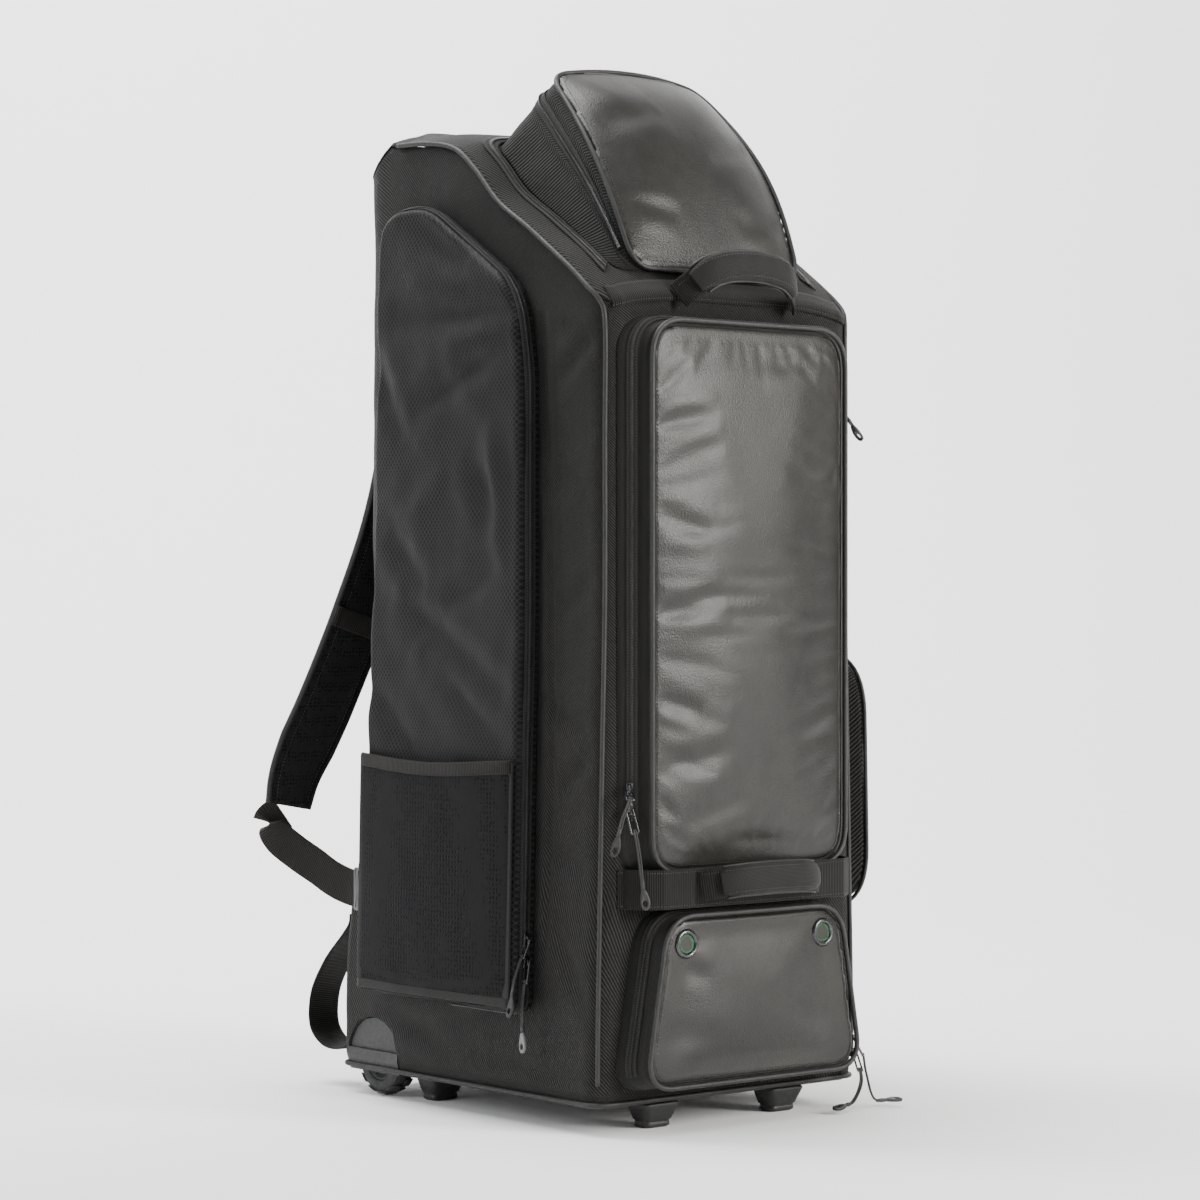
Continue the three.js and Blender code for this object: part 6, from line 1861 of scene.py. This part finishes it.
def slider_parts(centre, out, along):
    """Slider body with its bridge, on a zip line."""
    out, along = np.array(out, float), np.array(along, float)
    across = np.cross(along, out)
    parts = []

    def lump(width, length, low, high, round_share=0.4):
        outline = rounded(
            [
                (-width, -length, width * round_share), (width, -length, width * round_share),
                (width * 0.7, length, width * 0.3), (-width * 0.7, length, width * 0.3),
            ],
            32,
        )
        rings = []
        for h, k in ((low, 0.9), (low + 0.25, 1.0), (high - 0.3, 1.0), (high, 0.86)):
            rings.append(centre + across * outline[:, :1] * k + along * outline[:, 1:] * k + out * h)
        return painted(skin("slider", rings), finish_metal)

    parts.append(lump(3.6, 5.6, -0.8, 0.9))
    bridge = [
        centre - along * 4.2 + out * 0.6, centre - along * 2.6 + out * 3.0,
        centre + along * 0.6 + out * 3.4, centre + along * 3.6 + out * 0.7,
    ]
    parts.append(
        painted(
            swept("slider_bridge", flowing(bridge, 14), tuple(across), flat_section(2.4, 1.0, 4)),
            finish_metal,
        )
    )
    return parts


def link_part(start, stop, facing, width=6.0, wire=1.0):
    """Rectangular wire link between two points."""
    start, stop = np.array(start, float), np.array(stop, float)
    run = (stop - start) / np.linalg.norm(stop - start)
    across = np.cross(run, np.array(facing, float))
    across /= np.linalg.norm(across)
    half = width / 2
    corners = [
        start - across * half, stop - across * half * 1.15, stop + across * half * 1.15,
        start + across * half,
    ]
    loop = spaced(np.array(corners), 40, closed=True)
    return painted(ring_tube("link", loop, wire, 6, lift=facing), finish_metal)


def tab_part(start, direction, facing, material, length=20.0):
    """Moulded tab with a ring hole."""
    direction = np.array(direction, float) / np.linalg.norm(direction)
    facing = np.array(facing, float)
    facing -= (facing @ direction) * direction
    facing /= np.linalg.norm(facing)
    across = np.cross(direction, facing)
    t = np.linspace(0, 2 * math.pi, 36, endpoint=False)
    u = 5.4 * np.cos(t) * (0.75 + 0.25 * np.sin(t - 0.4))
    v = length / 2 * (1 + np.sin(t)) - 1.5
    hole_u, hole_v = 2.2 * np.cos(t), 3.0 * np.sin(t) + length * 0.62
    rings = []
    for h, k, hk in ((-1.5, 0.86, 1.12), (-1.1, 1.0, 1.0), (1.1, 1.0, 1.0), (1.5, 0.86, 1.12)):
        rings.append(
            start + across * (u * k)[:, None] + direction * ((v - length / 2) * k + length / 2)[:, None]
            + facing * h
        )
    rings += [
        start + across * (hole_u * hk)[:, None] + direction * (
            (hole_v - length * 0.62) * hk + length * 0.62
        )[:, None] + facing * h
        for h, hk in ((1.5, 1.15), (1.0, 1.0), (-1.0, 1.0), (-1.5, 1.15))
    ]
    return painted(skin("tab", rings, joined=True), material)


def make_pull(node_name, path, out, along=(0, 0, 1), facing=(0, -1, 0), material=None):
    """Slider, wire link, doubled cord and tab, in the place of one CAD pull."""
    path = [np.array(p, float) for p in path]
    parts = slider_parts(path[0], out, along)
    hang = path[0] + np.array(out) * 2.4
    dense = flowing([hang] + path[1:], 40)
    parts.append(link_part(dense[0], dense[12], facing))
    side = framed(dense, facing)[2]
    for sign in (-1, 1):
        run = dense[10:] + side[10:] * sign * 0.9
        parts.append(painted(swept("cord_run", run, facing, circle(1.0, 8)), finish_cord))
    knot = dense[-4]
    parts.append(
        painted(
            swept(
                "cord_knot", [knot - (dense[-1] - dense[-4]), knot, dense[-1]], facing, circle(2.0, 10),
                scale=[(0.7, 0.7), (1, 1), (0.8, 0.8)],
            ),
            finish_plastic,
        )
    )
    parts.append(tab_part(dense[-1], dense[-1] - dense[-3], facing, material or finish_plastic))
    placed(joined_as(node_name + "_set", parts), "dark_metal", stands_for=[node_name])


def zip_side(spec, z, hand):
    """Middle of a slider on a front pocket's zip."""
    t = 0.46
    run = spec["depth"] - FABRIC - 2 * SEAT
    half = (
        spec["bottom_width"]
        + (spec["top_width"] - spec["bottom_width"]) * (z - spec["bottom"]) / spec["height"]
    ) / 2
    steep = math.hypot(run, spec["extra"]) / run
    away = 2 * SEAT + 1.6 + 3.5 * steep - 2.6
    return np.array([hand * (half + spec["extra"] * (1 - t) + away), float(front_y(z)) - SEAT - run * t, z])


def step(point, x, y, z):
    return np.array(point) + (x, y, z)


def make_pulls():
    slant = np.array([0.72, -0.69, 0])
    a = zip_side(FRONT, FRONT["bottom"] + 76, -1)
    make_pull(
        "zip_pull_front_a", [a, step(a, -9, -12, -8), step(a, -18, -12, -26), step(a, -21, -9, -42)],
        (-0.72, -0.69, 0), facing=(-0.5, -0.85, 0),
    )
    b = zip_side(FRONT, FRONT["bottom"] + 58, -1)
    make_pull(
        "zip_pull_front_b", [b, step(b, 1, -9, -28), step(b, 1, -18, -72)], (-0.72, -0.69, 0),
        facing=(-0.5, -0.85, 0),
    )
    y = depth_at(0.262) - 0.54 - 2 * SEAT - 1.6 - 3.2 - SEAT + 2.4
    for name, z, moves in (
        ("zip_pull_bat_a", 172.0, ((-12, 2, -34), (-18, -1, -52))),
        ("zip_pull_bat_b", 152.0, ((-8, -5, -35), (-9, -6, -64))),
    ):
        c = np.array([-(float(side_x(z)) + BAT_DEPTH * 0.46), y, z])
        pale = finish_hook if name.endswith("b") else None
        make_pull(name, [c] + [step(c, *m) for m in moves], (0, -1, 0), facing=(-1, 0, 0), material=pale)
    d = np.array([float(side_x(714)) + 1.4, BODY_FRONT + 34, 714.0])
    make_pull("zip_pull_side_a", [d, step(d, 8, -3, -38), step(d, 26, -6, -62)], (1, 0, 0), facing=(1, 0, 0))
    e = step(d, 0, 12, -10)
    make_pull("zip_pull_side_b", [e, step(e, 5, 0, -44), step(e, 5, 0, -70)], (1, 0, 0), facing=(1, 0, 0))
    f = zip_side(SHOE, SHOE["bottom"] + 24, 1)
    tail = [step(f, 17, -16, 0), step(f, 31, -18, 0)]
    tail[0][2], tail[1][2] = 9, 7
    make_pull(
        "zip_pull_shoe_a", [f, step(f, 9, -5, -8), step(f, 12, -10, -36)] + tail, slant,
        facing=(0.2, -0.2, 0.96),
    )
    g = step(zip_side(SHOE, SHOE["bottom"] + 10, 1), 0, 0, -1)
    tail = [step(g, -14, -16, 0), step(g, -26, -18, 0)]
    tail[0][2], tail[1][2] = 9, 7
    make_pull("zip_pull_shoe_b", [g, step(g, -1, -14, -26)] + tail, slant, facing=(0.1, -0.2, 0.96))


# Stage

def make_stage():
    floor_mesh = bpy.data.meshes.new("studio_sweep")
    wide, near, far, rise, curve = 7.0, -4.5, 3.2, 5.0, 1.6
    profile = [(near, 0.0), (far - curve, 0.0)]
    profile += [
        (far - curve + curve * math.sin(a), curve - curve * math.cos(a))
        for a in np.linspace(0, math.pi / 2, 16)[1:]
    ]
    profile.append((far, rise))
    c, s = math.cos(VIEW_TURN), math.sin(VIEW_TURN)
    points, faces = [], []
    for y, z in profile:
        for x in (-wide, wide):
            points.append((x * c + y * s, y * c - x * s, z - 0.0002))
    for i in range(len(profile) - 1):
        faces.append((2 * i, 2 * i + 1, 2 * i + 3, 2 * i + 2))
    floor_mesh.from_pydata(points, [], faces)
    floor_mesh.polygons.foreach_set("use_smooth", [True] * len(faces))
    floor = bpy.data.objects.new("studio_sweep", floor_mesh)
    bpy.context.scene.collection.objects.link(floor)
    made, tree, shader = material_of("pale_paper")
    shader.inputs["Roughness"].default_value = 0.95
    shader.inputs["Specular IOR Level"].default_value = 0.1
    soft = cloud_of(tree, place_of(tree), 0.8, 2.0)
    tree.links.new(blend(tree, soft, (0.90, 0.90, 0.90), (0.94, 0.94, 0.94)), shader.inputs["Base Color"])
    painted(floor, made)


def add_light(name, place, aim, size, power, tone=(1, 1, 1)):
    data = bpy.data.lights.new(name, "AREA")
    data.shape = "RECTANGLE"
    data.size, data.size_y = size
    data.energy = power
    data.color = tone
    made = bpy.data.objects.new(name, data)
    made.location = place
    made.rotation_mode = "QUATERNION"
    made.rotation_quaternion = (Vector(aim) - Vector(place)).to_track_quat("-Z", "Y")
    bpy.context.scene.collection.objects.link(made)


def make_camera():
    data = bpy.data.cameras.new("photo_camera")
    data.lens = 102.0
    data.sensor_width = 36.0
    data.clip_start, data.clip_end = 0.05, 60
    cam = bpy.data.objects.new("photo_camera", data)
    cam.location = (-2.121, (FRAME_Y - 2516.5) * MM, 0.483)
    cam.rotation_mode = "QUATERNION"
    cam.rotation_quaternion = Vector((math.sin(VIEW_TURN), math.cos(VIEW_TURN), 0)).to_track_quat("-Z", "Y")
    bpy.context.scene.collection.objects.link(cam)
    bpy.context.scene.camera = cam


def light_the_room():
    world = bpy.data.worlds.new("soft_room")
    world.use_nodes = True
    tree = world.node_tree
    room = tree.nodes["Background"]
    room.inputs[0].default_value = (0.97, 0.98, 1.0, 1)
    look = node(tree, "ShaderNodeTexCoord").outputs["Generated"]
    to_right = node(
        tree, "ShaderNodeVectorMath", {0: look, 1: (0.9, -0.43, 0.0)}, operation="DOT_PRODUCT",
    ).outputs["Value"]
    tree.links.new(ramp(tree, to_right, 0.80, 0.96, 0.55, 0.10), room.inputs[1])
    bpy.context.scene.world = world
    add_light("front_softbox", (1.2, -2.9, 1.35), (0, 0, 0.65), (0.75, 1.6), 150, (1.0, 0.97, 0.93))
    add_light("key_left", (-2.5, 0.7, 1.1), (0, 0, 0.5), (0.9, 1.6), 31)
    add_light("right_edge", (2.6, -0.6, 1.4), (0, 0, 0.5), (0.8, 2.0), 8, (1.0, 0.98, 0.95))
    add_light("top_soft", (-0.9, -0.6, 3.1), (0, 0, 0.4), (2.2, 2.2), 20)
    add_light("backdrop_glow", (-0.6, 1.2, 3.4), (1.8, 2.8, 0.8), (3.2, 1.6), 310)


make_camera()
make_body()
make_lid()
make_edge_piping()
make_front_pocket()
make_shoe_pocket()
make_helmet_pocket()
make_side_pockets()
make_upper_band()
make_lower_band()
make_grips()
make_back()
make_base()
make_pulls()
make_stage()
light_the_room()
